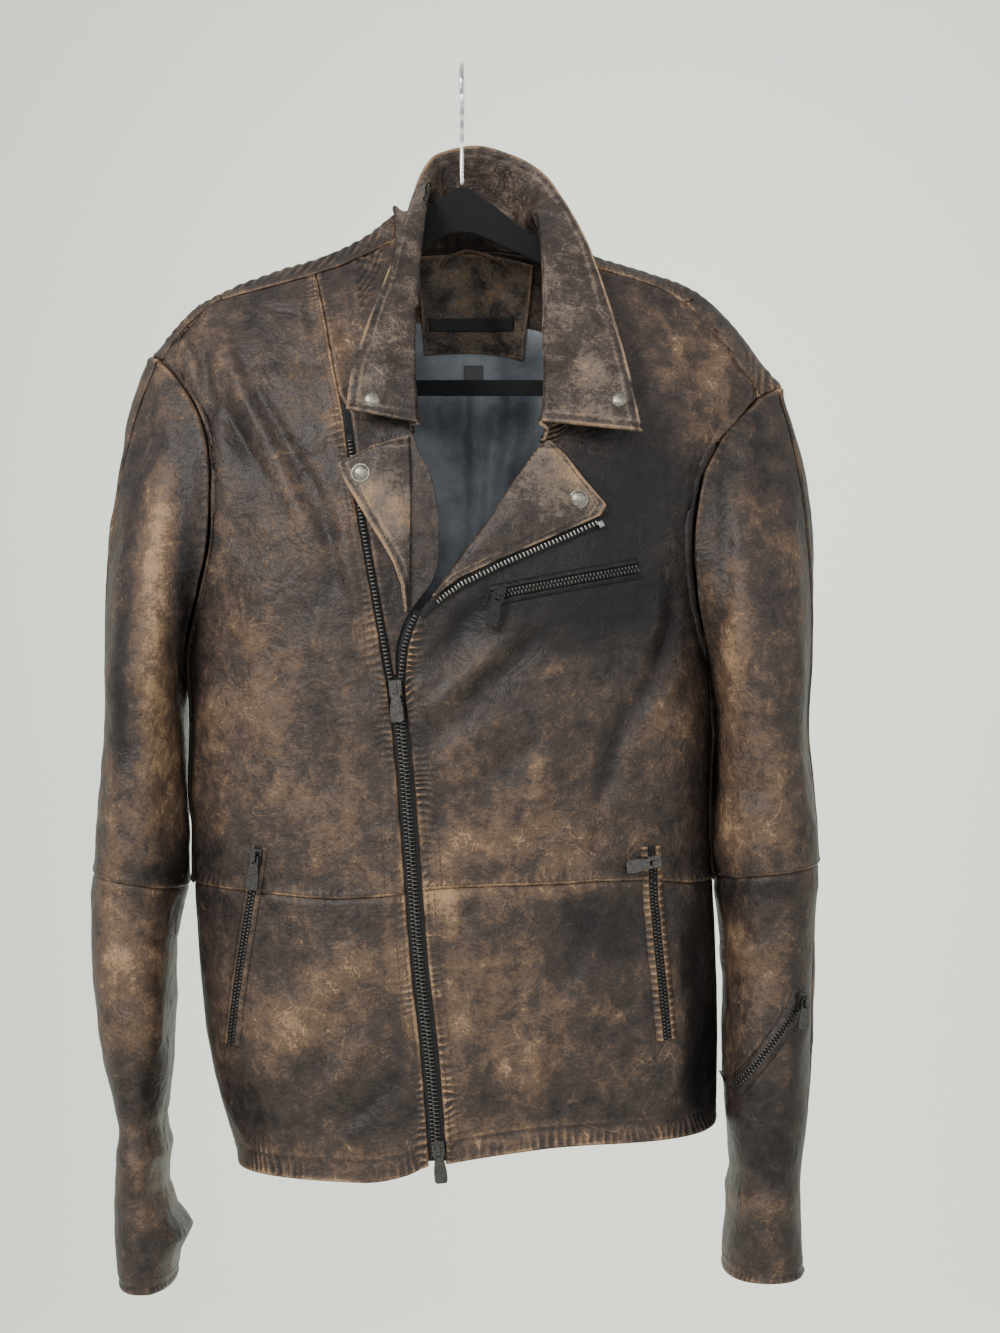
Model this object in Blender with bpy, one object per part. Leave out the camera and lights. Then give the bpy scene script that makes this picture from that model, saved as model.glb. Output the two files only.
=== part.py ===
"""A worn leather jacket on a slim hanger, one solid for every piece that is cut or fitted.

Metres, +Z up.  The hang point of the hook is the origin, the fronts face -Y, and
right_ and left_ are the wearer's own sides, so the wearer's right is at -X.
"""
import bmesh
import bpy
import numpy as np
from math import cos, pi, radians, sin
from mathutils import Matrix, Vector
from mathutils.bvhtree import BVHTree

MM = 0.001

# Driving sizes of the garment, in millimetres.
LEATHER = 2.0            # leather with its backing
COLLAR_THICK = 2.4       # two leathers turned and pressed
LINING = 1.1
SEAM = 0.26              # each edge stands back this far, so a seam is open by twice that
LAY = 0.35               # a piece laid on another is this far from it
ZIP_WIDE = 5.2           # one tape with its row of teeth
ZIP_THICK = 1.8
SNAP_WIDE = 13.5
SNAP_TALL = 3.2
WIRE = 3.2               # hook wire
HANGER_THICK = 6.0

# Level rings of the body: height, reach to the wearer's right and left, depth to
# the front and the back, and how square the ring is.
BODY = dict(
    height=[-800, -760, -700, -600, -540, -470, -440, -400, -350, -310, -270, -240,
            -215, -195, -178, -162, -150, -138, -126, -112, -100],
    right=[163, 174, 187, 195, 197, 199, 200, 203, 205, 208, 213, 220,
           227, 212, 197, 167, 135, 102, 76, 56, 44],
    left=[184, 186, 187, 183.5, 182, 180, 179.5, 181, 189, 200, 216, 236,
          219, 202, 189, 168, 133, 96, 75, 50, 40],
    front=[96, 97, 99, 100, 100, 100, 100, 100, 98, 94, 87, 79,
           68, 58, 48, 38, 30, 21, 12, 8, 5],
    back=[84, 85, 87, 88, 88, 89, 89, 89, 89, 88, 87, 86,
          84, 82, 80, 78, 77, 77, 77, 74, 70],
    square=[2.5, 2.5, 2.5, 2.5, 2.5, 2.5, 2.5, 2.5, 2.4, 2.3, 2.2, 2.1,
            1.9, 1.8, 1.75, 1.7, 1.7, 1.7, 1.7, 1.7, 1.7],
)

# Seams drawn on the body: height down the piece and sideways place.
RIGHT_EDGE = dict(height=[-800, -775, -720, -640, -560, -500, -454, -434, -406, -371, -322, -290, -262,
                          -229, -192, -150],
                  x=[-21, -22, -26, -34.5, -40.5, -45, -50, -53.6, -58.6, -65, -73.7, -78.6, -82.5,
                     -89.5, -97, -107])
RIGHT_INNER = dict(height=[-446, -430, -407, -395, -380, -364, -336, -319, -307, -289, -273, -262,
                           -205, -170, -150, -130],
                   x=[-44.6, -44.3, -37.6, -29.4, -18.5, -14.5, -14.5, -17, -20, -29, -34, -37,
                      -45, -47.5, -48.5, -47])
LEFT_EDGE = dict(height=[-800, -776, -720, -640, -560, -500, -454, -430, -407, -395, -378, -359,
                         -346, -329, -315, -295, -280, -262, -212, -170, -150, -136],
                 x=[-9, -10, -14, -22.5, -28.5, -33.5, -38.5, -36.5, -29.5, -21.5, -10, 3.5,
                    14, 25.7, 34.7, 48.6, 59, 65, 70, 72, 71, 70])
ARMHOLE_RIGHT = dict(height=[-436, -430, -415, -385, -345, -305, -281, -267, -253, -240, -226, -217],
                     depth=[0, 18, 37, 52, 58, 56, 52, 48, 43, 36, 26, 17])
ARMHOLE_LEFT = dict(height=[-443, -436, -418, -385, -345, -305, -284, -271, -262, -254, -246],
                    depth=[0, 18, 37, 52, 58, 56, 51, 47.5, 44, 40, 36])
# Front seam of the shoulder bands; the seam behind them is its twin.
YOKE_RIGHT = dict(x=[-217, -213, -207, -196, -187, -170, -139, -102, -84, -66, -48],
                  height=[-217, -207, -197, -185, -176, -171, -163.8, -153.3, -146.5, -138, -128])
YOKE_LEFT = dict(x=[70, 84, 99, 120, 146, 166, 182, 195, 204, 209, 213],
                 height=[-139, -144, -150, -156, -165.5, -178.5, -189, -205, -221, -233, -246])
WAIST = dict(x=[-200, -156, -135, -90, -42, -21, 14, 70, 98, 126, 170, 190],
             height=[-596, -598, -599.5, -602, -599, -595, -593, -591.5, -590, -590, -594, -594])
HEM = dict(x=[-170, -158, -146, -128, -90, -56, -36, -20, -10, 14, 42, 70, 98, 133, 170, 190],
           height=[-797, -801, -804, -804.5, -802, -799, -794, -787, -786, -782, -778, -775,
                   -774, -774, -773, -770])
BACK_NECK = -123.0


def look(table, key, at, column):
    """Smooth value of one column of a table at a place along another."""
    xs = table[key]
    ys = table[column]
    if xs[0] > xs[-1]:
        xs = xs[::-1]
        ys = ys[::-1]
    if at <= xs[0]:
        return float(ys[0])
    if at >= xs[-1]:
        return float(ys[-1])
    i = int(np.searchsorted(xs, at)) - 1
    i = max(0, min(i, len(xs) - 2))
    span = xs[i + 1] - xs[i]
    f = (at - xs[i]) / span
    rise = (ys[i + 1] - ys[i]) / span
    before = (ys[i] - ys[i - 1]) / (xs[i] - xs[i - 1]) if i else rise
    after = (ys[i + 2] - ys[i + 1]) / (xs[i + 2] - xs[i + 1]) if i + 2 < len(xs) else rise

    def limited(a, b):
        return 0.0 if a * b <= 0 else 2 * a * b / (a + b)
    m0 = limited(before, rise) if i else rise
    m1 = limited(rise, after) if i + 2 < len(xs) else rise
    f2 = f * f
    f3 = f2 * f
    return float((2 * f3 - 3 * f2 + 1) * ys[i] + (f3 - 2 * f2 + f) * span * m0
                 + (3 * f2 - 2 * f3) * ys[i + 1] + (f3 - f2) * span * m1)


def ring(z, side, face):
    """Reach, depth and squareness of the body ring at a height."""
    return (look(BODY, "height", z, "right" if side < 0 else "left"),
            look(BODY, "height", z, "front" if face < 0 else "back"),
            look(BODY, "height", z, "square"))


def depth_at(x, z, face):
    """How far out the body stands at a place on its front or back."""
    reach, depth, square = ring(z, x, face)
    share = min(1.0, abs(x) / reach)
    return face * depth * (1 - share ** square) ** (1 / square)


def side_at(y, z, side):
    """How far sideways the body stands at a depth."""
    reach, depth, square = ring(z, side, -1 if y <= 0 else 1)
    share = min(1.0, abs(y) / depth)
    return side * reach * (1 - share ** square) ** (1 / square)


def turn_of(x, z, face):
    """Angle round the ring of a sideways place: 0 is +X, and the front is negative."""
    reach, depth, square = ring(z, x, face)
    share = min(1.0, abs(x) / reach) ** (square / 2)
    angle = np.arccos(share)
    angle = angle if x >= 0 else pi - angle
    return face * angle


def body(turn, z):
    """Point of the body form for an angle and a height."""
    side = 1 if cos(turn) >= 0 else -1
    face = 1 if sin(turn) >= 0 else -1
    reach, depth, square = ring(z, side, face)
    return Vector((side * reach * abs(cos(turn)) ** (2 / square),
                   face * depth * abs(sin(turn)) ** (2 / square), z))


def body_normal(p):
    """Outward direction of the body form at one of its points."""
    def level(q):
        reach, depth, square = ring(q.z, q.x, q.y)
        return (abs(q.x) / reach) ** square + (abs(q.y) / depth) ** square
    step = 1.5
    slope = []
    for axis in (Vector((step, 0, 0)), Vector((0, step, 0)), Vector((0, 0, step))):
        slope.append(level(p + axis) - level(p - axis))
    return Vector(slope).normalized()


def on_body(x, z, face, lift=0.0):
    """Point over the body's front or back, lifted off it."""
    p = Vector((x, depth_at(x, z, face), z))
    return p + body_normal(p) * lift


# ---------------------------------------------------------------- solids

def clean_start():
    for item in list(bpy.data.objects):
        bpy.data.objects.remove(item, do_unlink=True)


def finish(bm, name, paint, origin=None):
    """Store a body in metres with its own material."""
    bmesh.ops.recalc_face_normals(bm, faces=bm.faces)
    if bm.calc_volume(signed=True) < 0:
        bmesh.ops.reverse_faces(bm, faces=bm.faces)
    centre = Vector(origin) if origin is not None else Vector((0, 0, 0))
    bmesh.ops.translate(bm, verts=bm.verts, vec=-centre)
    bmesh.ops.scale(bm, verts=bm.verts, vec=(MM, MM, MM))
    mesh = bpy.data.meshes.new(name)
    bm.to_mesh(mesh)
    bm.free()
    colour, rough, metal = PAINT[paint]
    material = bpy.data.materials.new(name + "_" + paint)
    material.use_nodes = True
    shader = material.node_tree.nodes["Principled BSDF"]
    shader.inputs["Base Color"].default_value = (*colour, 1)
    shader.inputs["Roughness"].default_value = rough
    shader.inputs["Metallic"].default_value = metal
    mesh.materials.append(material)
    solid = bpy.data.objects.new(name, mesh)
    solid.location = centre * MM
    bpy.context.scene.collection.objects.link(solid)
    return solid


def slab(name, outer, inner, paint, origin=None):
    """Closed wall between two matching grids of points."""
    rows = len(outer)
    cols = len(outer[0])
    bm = bmesh.new()
    bmesh.ops.create_grid(bm, x_segments=cols - 1, y_segments=rows - 1, size=1)
    place = {}
    for v in bm.verts:
        c = round((v.co.x + 1) * (cols - 1) / 2)
        r = round((v.co.y + 1) * (rows - 1) / 2)
        place[v] = (r, c)
    sheet = list(bm.verts)
    grown = bmesh.ops.extrude_face_region(bm, geom=list(bm.faces), use_keep_orig=True)
    for v in grown["geom"]:
        if isinstance(v, bmesh.types.BMVert):
            r = round((v.co.y + 1) * (rows - 1) / 2)
            c = round((v.co.x + 1) * (cols - 1) / 2)
            v.co = outer[r][c]
    for v in sheet:
        r, c = place[v]
        v.co = inner[r][c]
    return finish(bm, name, paint, origin)


def edged(points, top=SEAM, bottom=SEAM, first=SEAM, last=SEAM):
    """Draw the rim of a grid in, along the grid, by the seam allowance."""
    def draw(line, near, far):
        line = list(line)
        if near:
            line[0] = line[0] + (line[1] - line[0]).normalized() * near
        if far:
            line[-1] = line[-1] + (line[-2] - line[-1]).normalized() * far
        return line
    points = [draw(row, first, last) for row in points]
    columns = [draw([row[c] for row in points], bottom, top) for c in range(len(points[0]))]
    return [[columns[c][r] for c in range(len(columns))] for r in range(len(points))]


def walled(points, thick, lift=0.0):
    """Outer and inner grids of a wall on the body form."""
    outer = []
    inner = []
    for row in points:
        normals = [body_normal(p) for p in row]
        outer.append([p + n * lift for p, n in zip(row, normals)])
        inner.append([p + n * (lift - thick) for p, n in zip(row, normals)])
    return outer, inner


def solve(inside, low, high):
    """First height, going up, where a test stops holding."""
    while low + 2.5 < high and inside(low + 2.5):
        low += 2.5
    high = min(high, low + 2.5)
    for _ in range(24):
        mid = (low + high) / 2
        if inside(mid):
            low = mid
        else:
            high = mid
    return (low + high) / 2


def patch(face, inner_turn, outer_turn, low, high, cols, shares, reach=(-800.0, -95.0)):
    """Grid on the body between two side curves and two height curves.

    inner_turn and outer_turn give the angle at a height; low and high give a height
    at a sideways place; shares are the rows, bottom to top.
    """
    grid = []
    for c in range(cols + 1):
        u = c / cols

        def at(z):
            return body(inner_turn(z) * (1 - u) + outer_turn(z) * u, z)
        z0 = solve(lambda z: z < low(at(z).x), reach[0], reach[1]) if callable(low) else low
        z1 = solve(lambda z: z < high(at(z).x), z0, reach[1]) if callable(high) else high
        grid.append([at(z0 + (z1 - z0) * s) for s in shares])
    return [[grid[c][r] for c in range(cols + 1)] for r in range(len(shares))]


# ---------------------------------------------------------------- body panels

SHARES = ([0.42 * i / 6 for i in range(6)] + [0.42 + 0.265 * i / 5 for i in range(5)]
          + [0.685 + 0.315 * i / 6 for i in range(7)])
LOWER_SHARES = [i / 6 for i in range(7)]
BACK_TOP = dict(x=YOKE_RIGHT["x"] + [-38, 14, 60] + YOKE_LEFT["x"],
                height=YOKE_RIGHT["height"] + [-125, BACK_NECK, -133] + YOKE_LEFT["height"])


def side_turn(side, face, armhole):
    """Angle of the side seam, and above the underarm of the armhole seam."""
    edge = pi if side < 0 else 0.0

    def at(z):
        if z <= armhole["height"][0]:
            return face * edge
        z = min(z, armhole["height"][-1])
        deep = look(armhole, "height", z, "depth")
        reach, depth, square = ring(z, side, face)
        off = np.arcsin(min(1.0, deep / depth) ** (square / 2))
        return face * (edge - off if side < 0 else off)
    return at


def seam_turn(table, face, shift=0.0):
    """Angle of a seam given as sideways place by height."""
    return lambda z: turn_of(look(table, "height", z, "x") + shift, z, face)


def across(table):
    """Height of a seam by sideways place."""
    return lambda x: look(table, "x", x, "height")


def join(*grids):
    """Grids side by side, sharing their border columns."""
    rows = [list(row) for row in grids[0]]
    for grid in grids[1:]:
        for row, more in zip(rows, grid):
            row.extend(more[1:])
    return rows


def panel(name, grid, paint="leather", thick=LEATHER, lift=0.0, **rim):
    """One cut piece on the body form."""
    slab(name, *walled(edged(grid, **rim), thick, lift), paint)
    return grid


def build_body():
    """Fronts and back, each between its own seams."""
    right_side = side_turn(-1, -1, ARMHOLE_RIGHT)
    left_side = side_turn(1, -1, ARMHOLE_LEFT)
    right_back = side_turn(-1, 1, ARMHOLE_RIGHT)
    left_back = side_turn(1, 1, ARMHOLE_LEFT)
    made = {}
    made["right_front_upper"] = patch(-1, seam_turn(RIGHT_EDGE, -1), right_side,
                                      across(WAIST), across(YOKE_RIGHT), 7, SHARES)
    inner_rows = [0.53 * i / 6 for i in range(6)] + [0.53 + 0.47 * i / 8 for i in range(9)]
    inner_grid = patch(-1, seam_turn(RIGHT_INNER, -1), lambda z: seam_turn(
        RIGHT_EDGE, -1, 0.0 if z > -250 else min(1.0, (-250 - z) / 12) * (ZIP_WIDE + 0.35))(z),
        -446.0, across(YOKE_RIGHT), 4, inner_rows, (-446.0, -95.0))
    made["right_front_inner"] = inner_grid
    made["right_front_lower"] = patch(-1, seam_turn(RIGHT_EDGE, -1), right_side,
                                      across(HEM), across(WAIST), 7, LOWER_SHARES)
    made["left_front_upper"] = patch(-1, seam_turn(LEFT_EDGE, -1), left_side,
                                     across(WAIST), across(YOKE_LEFT), 8, SHARES)
    made["left_front_lower"] = patch(-1, seam_turn(LEFT_EDGE, -1), left_side,
                                     across(HEM), across(WAIST), 8, LOWER_SHARES)
    edge_left = dict(height=[-800, -140], x=[70, 70])
    edge_right = dict(height=[-800, -130], x=[-48, -48])

    def back(low, high, shares):
        return join(patch(1, left_back, seam_turn(edge_left, 1), low, high, 8, shares),
                    patch(1, seam_turn(edge_left, 1), seam_turn(edge_right, 1), low, high, 6, shares),
                    patch(1, seam_turn(edge_right, 1), right_back, low, high, 11, shares))
    made["back_upper"] = back(across(WAIST), across(BACK_TOP), SHARES)
    made["back_lower"] = back(across(HEM), across(WAIST), LOWER_SHARES)
    for name, grid in made.items():
        panel(name, grid)
    return made


def shoulder_band(name, front, back, tip_height):
    """Band over the shoulder, from the top of the fronts to the top of the back."""
    ways = [-1, -0.66, -0.33, 0, 0.33, 0.66, 1]
    grid = []
    for i in range(len(front)):
        pf = front[i]
        pb = back[i]
        line = []
        for w in ways:
            share = (w + 1) / 2
            x = pf.x * (1 - share) + pb.x * share
            if i == len(front) - 1:
                y = pf.y * (1 - share) + pb.y * share
                z = pf.z * (1 - share) + pb.z * share + (tip_height - pf.z) * (1 - w * w)
                line.append(Vector((side_at(y, z, 1 if x > 0 else -1), y, z)))
                continue
            side = "left" if x > 0 else "right"
            ridge = solve(lambda z: look(BODY, "height", z, side) > abs(x), -240.0, -98.0)
            low = pf.z if w < 0 else pb.z
            z = ridge - (ridge - low) * abs(w) ** 1.7
            line.append(Vector((x, 0, z)) if w == 0 else Vector((x, depth_at(x, z, -1 if w < 0 else 1), z)))
        line[0] = pf
        line[-1] = pb
        grid.append(line)
    panel(name, grid)
    return grid


# ---------------------------------------------------------------- sleeves

SLEEVE_RIGHT = dict(height=[-480, -520, -567, -600, -641, -685, -729, -772, -812, -842, -886],
                    middle=[-230.3, -231, -232, -234, -237, -237, -235, -231, -231, -227, -226.5],
                    half=[27, 30, 32.5, 33, 30, 27, 23, 17, 19.5, 23, 21],
                    deep=[79, 78, 74, 69, 66, 62, 58, 55, 54, 53, 52],
                    forward=[0, 0, 2, 4, 6, 8, 9, 10, 10, 10, 10],
                    tilt=[0, 2, 6, 12, 8, 4, 0, 0, 0, 0, 0])
SLEEVE_LEFT = dict(height=[-480, -520, -567, -592, -641, -685, -729, -770, -808, -840, -878],
                   middle=[217.5, 219.3, 222, 222.5, 222.5, 222, 221.5, 221.5, 221, 220, 219.5],
                   half=[34.5, 36.3, 37, 36.8, 33.3, 32, 32, 29, 25, 26.5, 29],
                   deep=[79, 78, 74, 70, 66, 62, 58, 55, 54, 53, 52],
                   forward=[0, 0, 2, 4, 6, 8, 9, 10, 10, 10, 10],
                   tilt=[0, 2, 6, 10, 6, 2, 0, 0, 0, 0, 0])
ELBOW_ROW = 3            # ring of the elbow seam
CAP_ROWS = 6             # rows from the armhole down to the first ring


def leave(p, way):
    """Start of a wall that leaves the body at a seam, just clear of the body's own."""
    n = body_normal(p)
    facing = way.dot(n)
    if facing > -0.25:
        return p + n * 2.2 + way * 0.3
    return p + way * (0.35 + 2.3 * min(1.0, -facing))


def grid_normals(grid, closed):
    """Normals of a grid, which closes on itself across if asked."""
    rows = len(grid)
    cols = len(grid[0])
    normals = []
    for r in range(rows):
        line = []
        for c in range(cols):
            down = grid[min(r + 1, rows - 1)][c] - grid[max(r - 1, 0)][c]
            if closed:
                before = grid[r][(c - 1) % (cols - 1)]
                after = grid[r][(c + 1) % (cols - 1)]
            else:
                before = grid[r][max(c - 1, 0)]
                after = grid[r][min(c + 1, cols - 1)]
            line.append((after - before).cross(down).normalized())
        normals.append(line)
    return normals


def sleeve_ring(table, row, turn, side):
    """Point of a level ring of the sleeve."""
    level = table["height"][row] + table["tilt"][row] * (1 - cos(turn)) / 2
    square = 2.3
    c = cos(turn)
    s = sin(turn)
    x = -side * table["half"][row] * np.sign(c) * abs(c) ** (2 / square)
    y = -table["deep"][row] * np.sign(s) * abs(s) ** (2 / square)
    return Vector((table["middle"][row] + x, y - table["forward"][row], level))


def build_sleeve(who, side, loop, table, seams):
    """Sleeve from the armhole loop down; the loop starts at the underarm, front first."""
    runs = [0.0]
    for a, b in zip(loop, loop[1:]):
        runs.append(runs[-1] + (b - a).length)
    turns = [2 * pi * r / runs[-1] for r in runs]
    rings = [[sleeve_ring(table, row, turn, side) for turn in turns] for row in range(len(table["height"]))]
    grid = [list(loop)]
    for k in range(1, CAP_ROWS):
        s = k / CAP_ROWS
        flat = 1 - (1 - s) ** 1.7
        drop = s ** 1.2
        line = []
        for p, q, turn in zip(loop, rings[0], turns):
            out = max(0.0, -cos(turn)) ** 1.5
            bulge = Vector((side * 7 * out, -5 * sin(turn) * (1 - out), 3 * out)) * (4 * s * (1 - s))
            line.append(Vector((p.x + (q.x - p.x) * flat, p.y + (q.y - p.y) * flat,
                                p.z + (q.z - p.z) * drop)) + bulge)
        grid.append(line)
    grid += rings
    grid[0] = [leave(p, (q - p).normalized()) for p, q in zip(loop, grid[1])]
    normals = grid_normals(grid, True)
    flip = 1 if normals[CAP_ROWS + 2][0].x * side < 0 else -1
    elbow = CAP_ROWS + ELBOW_ROW
    for part, columns in seams.items():
        for piece, low, high in (("upper", 0, elbow), ("forearm", elbow, len(grid) - 1)):
            rows = range(low, high + 1)
            outer = [[grid[r][c % (len(loop) - 1)] for c in columns] for r in rows]
            inner = [[grid[r][c % (len(loop) - 1)] - normals[r][c % (len(loop) - 1)] * flip * LEATHER
                      for c in columns] for r in rows]
            first = 0.0 if low == 0 else SEAM
            last = SEAM if high == elbow else 0.0
            slab(who + "_sleeve_" + piece + "_" + part, edged(outer, last, first), edged(inner, last, first),
                 "leather")
    return grid, normals, flip


# ---------------------------------------------------------------- collar

COLLAR = dict(share=[0, 0.1, 0.2, 0.28, 0.35, 0.42, 0.46, 0.5, 0.56, 0.62, 0.68, 0.75, 0.84, 0.92, 1],
              roll_x=[-33, -34.5, -34, -32, -26, -23, -12, 14, 36, 50, 55, 60, 62, 64, 63],
              roll_y=[-99, -91, -66, -40, -17, 14, 52, 66, 60, 38, 5, -34, -60, -88, -99],
              roll_z=[-270, -237, -197, -152, -99, -83, -84, -86, -90, -98, -106, -146, -202, -242, -270],
              free_x=[-79, -76, -66, -53, -42, -35, -20, 8, 36, 62, 78, 92, 107, 119, 127],
              free_y=[-100, -95, -78, -56, -28, 6, 40, 50, 48, 42, 18, -14, -54, -87, -104],
              free_z=[-261, -236, -200, -162, -122, -88, -56, -47, -54, -70, -98, -131, -183, -235, -277])


def clear_of_body(p, room):
    """Move a point out until it stands clear of the body form."""
    for _ in range(4):
        if p.z > -100:
            return p

        def level(q):
            a, b, n = ring(q.z, q.x, q.y)
            return ((abs(q.x) / a) ** n + (abs(q.y) / b) ** n) ** (1 / n)
        n = body_normal(p)
        rise = (level(p + n) - level(p - n)) / 2
        off = (level(p) - 1) / max(rise, 0.001)
        if off >= room:
            return p
        p = p + n * (room - off)
    return p


def build_collar(seam):
    """Collar from the neck seam over its roll to its free edge."""
    runs = [0.0]
    for a, b in zip(seam, seam[1:]):
        runs.append(runs[-1] + (b - a).length)
    grid = []
    for p, run in zip(seam, runs):
        f = run / runs[-1]
        roll = Vector([look(COLLAR, "share", f, "roll_" + a) for a in "xyz"])
        free = Vector([look(COLLAR, "share", f, "free_" + a) for a in "xyz"])
        line = [p + body_normal(p) * 2.6 + (roll - p).normalized() * 0.8]
        line += [p.lerp(roll, 0.5), roll]
        for s in (0.33, 0.67, 1.0):
            q = roll.lerp(free, s)
            line.append(clear_of_body(q, 3.6) if q.x > 64 or q.x < -38 else q)
        grid.append(line)
    normals = grid_normals(grid, False)
    middle = len(grid) // 2
    flip = 1 if normals[middle][3].y > 0 else -1
    outer = [[p + n * flip * COLLAR_THICK / 2 for p, n in zip(line, row)] for line, row in zip(grid, normals)]
    inner = [[p - n * flip * COLLAR_THICK / 2 for p, n in zip(line, row)] for line, row in zip(grid, normals)]
    slab("collar", outer, inner, "leather")
    return grid


# ---------------------------------------------------------------- pieces laid on

def laid(name, rows, lows, thick, paint="leather"):
    """Piece laid on the fronts: rows of (x, height) from root to edge, lift by column."""
    outer = []
    inner = []
    for row in rows:
        up = []
        down = []
        for (x, z), low in zip(row, lows):
            up.append(on_body(x, z, -1, low + thick))
            down.append(on_body(x, z, -1, low))
        outer.append(up)
        inner.append(down)
    slab(name, outer, inner, paint)


def ribbon(name, path, width, low, thick, paint, lay=None):
    """Strip along a line of (x, height), lying over the fronts or another form."""
    lay = lay or (lambda x, z, lift: on_body(x, z, -1, lift))
    outer = []
    inner = []
    for i, (x, z) in enumerate(path):
        a = path[max(i - 1, 0)]
        b = path[min(i + 1, len(path) - 1)]
        way = Vector((b[0] - a[0], b[1] - a[1])).normalized()
        across_way = Vector((-way.y, way.x))
        spots = [(x + across_way.x * s, z + across_way.y * s) for s in (-width / 2, 0, width / 2)]
        outer.append([lay(px, pz, low + thick) for px, pz in spots])
        inner.append([lay(px, pz, low) for px, pz in spots])
    slab(name, outer, inner, paint)


def between(root, edge, cols):
    """Rows of places from a root line to a free edge."""
    return [[(a[0] + (b[0] - a[0]) * c / cols, a[1] + (b[1] - a[1]) * c / cols) for c in range(cols + 1)]
            for a, b in zip(root, edge)]


def frame_at(p, out, down):
    """Axes of a fitting: across, along its zip (down) and outwards."""
    along = (down - out * down.dot(out)).normalized()
    return p, along.cross(out).normalized(), along, out.normalized()


def placed(bm, frame, verts=None):
    p, x, y, z = frame
    for v in (verts or bm.verts):
        v.co = p + x * v.co.x + y * v.co.y + z * v.co.z


def cell_block(xs, ys, low, high, hole=None):
    """Block on a lattice of cuts, with one cell left open if asked."""
    bm = bmesh.new()
    bmesh.ops.create_grid(bm, x_segments=len(xs) - 1, y_segments=len(ys) - 1, size=1)
    for v in bm.verts:
        c = round((v.co.x + 1) * (len(xs) - 1) / 2)
        r = round((v.co.y + 1) * (len(ys) - 1) / 2)
        v.co = Vector((xs[c], ys[r], low))
    if hole:
        spot = Vector(((xs[hole[0]] + xs[hole[0] + 1]) / 2, (ys[hole[1]] + ys[hole[1] + 1]) / 2, low))
        gone = [f for f in bm.faces if (f.calc_center_median() - spot).length < 0.01]
        bmesh.ops.delete(bm, geom=gone, context="FACES")
    grown = bmesh.ops.extrude_face_region(bm, geom=list(bm.faces), use_keep_orig=True)
    moved = [g for g in grown["geom"] if isinstance(g, bmesh.types.BMVert)]
    bmesh.ops.translate(bm, verts=moved, vec=(0, 0, high - low))
    return bm


SLIDER_WIDE = 8.6
SLIDER_LONG = 11.0
SLIDER_TALL = 2.8
BAIL_HALF = 1.2
BAIL_SLOT = 2.4
BAIL_TOP = 1.1
PULL_THICK = 1.2


def slider(name, frame):
    """Slider with a bail standing on it for the pull."""
    xs = [-SLIDER_WIDE / 2, -BAIL_HALF, BAIL_HALF, SLIDER_WIDE / 2]
    ys = [-SLIDER_LONG / 2, -3.6, -2.2, 2.2, 3.6, SLIDER_LONG / 2]
    bm = cell_block(xs, ys, 0, SLIDER_TALL)
    for height in (BAIL_SLOT, BAIL_TOP):
        tops = max(f.calc_center_median().z for f in bm.faces)
        feet = [f for f in bm.faces if abs(f.calc_center_median().z - tops) < 0.01
                and abs(f.calc_center_median().x) < 0.5 and 2.4 < abs(f.calc_center_median().y) < 3.4]
        grown = bmesh.ops.extrude_discrete_faces(bm, faces=feet)
        for f in grown["faces"]:
            sides = list(f.edges)
            raised = bmesh.ops.extrude_edge_only(bm, edges=sides)
            up = [g for g in raised["geom"] if isinstance(g, bmesh.types.BMVert)]
            bmesh.ops.translate(bm, verts=up, vec=(0, 0, height))
            bmesh.ops.delete(bm, geom=[f], context="FACES_ONLY")
            bmesh.ops.contextual_create(bm, geom=[e for e in bm.edges if all(v in up for v in e.verts)])
        bmesh.ops.remove_doubles(bm, verts=bm.verts, dist=0.001)
    level = SLIDER_TALL + BAIL_SLOT + BAIL_TOP / 2
    facing = [f for f in bm.faces if abs(f.calc_center_median().z - level) < 0.01
              and abs(abs(f.calc_center_median().y) - 2.2) < 0.01]
    rims = [e for f in facing for e in f.edges]
    bmesh.ops.delete(bm, geom=facing, context="FACES_ONLY")
    bmesh.ops.bridge_loops(bm, edges=rims)
    placed(bm, frame)
    finish(bm, name, "metal")


def pull_tab(name, frame, swing, length=17.0):
    """Pull whose crossbar sits in the bail; swing turns it in its own plane."""
    p, x, y, z = frame
    axis = p + z * (SLIDER_TALL + BAIL_SLOT / 2)
    ys = [-0.6, 0.6, 4.9, 6.6, 6.6 + length * 0.5, 6.6 + length]
    bm = cell_block([-3.2, -1.8, 1.8, 3.2], ys, -PULL_THICK / 2, PULL_THICK / 2, hole=(1, 1))
    for v in bm.verts:
        if v.co.y > 8:
            v.co.x *= 1.42
    ends = [e for e in bm.edges if all(abs(v.co.y - ys[-1]) < 0.01 and abs(v.co.x) > 4 for v in e.verts)
            and abs(e.verts[0].co.z - e.verts[1].co.z) > 1]
    bmesh.ops.bevel(bm, geom=ends, offset=2.2, segments=3, profile=0.5, affect="EDGES", material=-1)
    bmesh.ops.transform(bm, matrix=Matrix.Rotation(swing, 4, "X"), verts=bm.verts)
    placed(bm, (axis, x, y, z))
    finish(bm, name, "metal", origin=axis)


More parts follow.
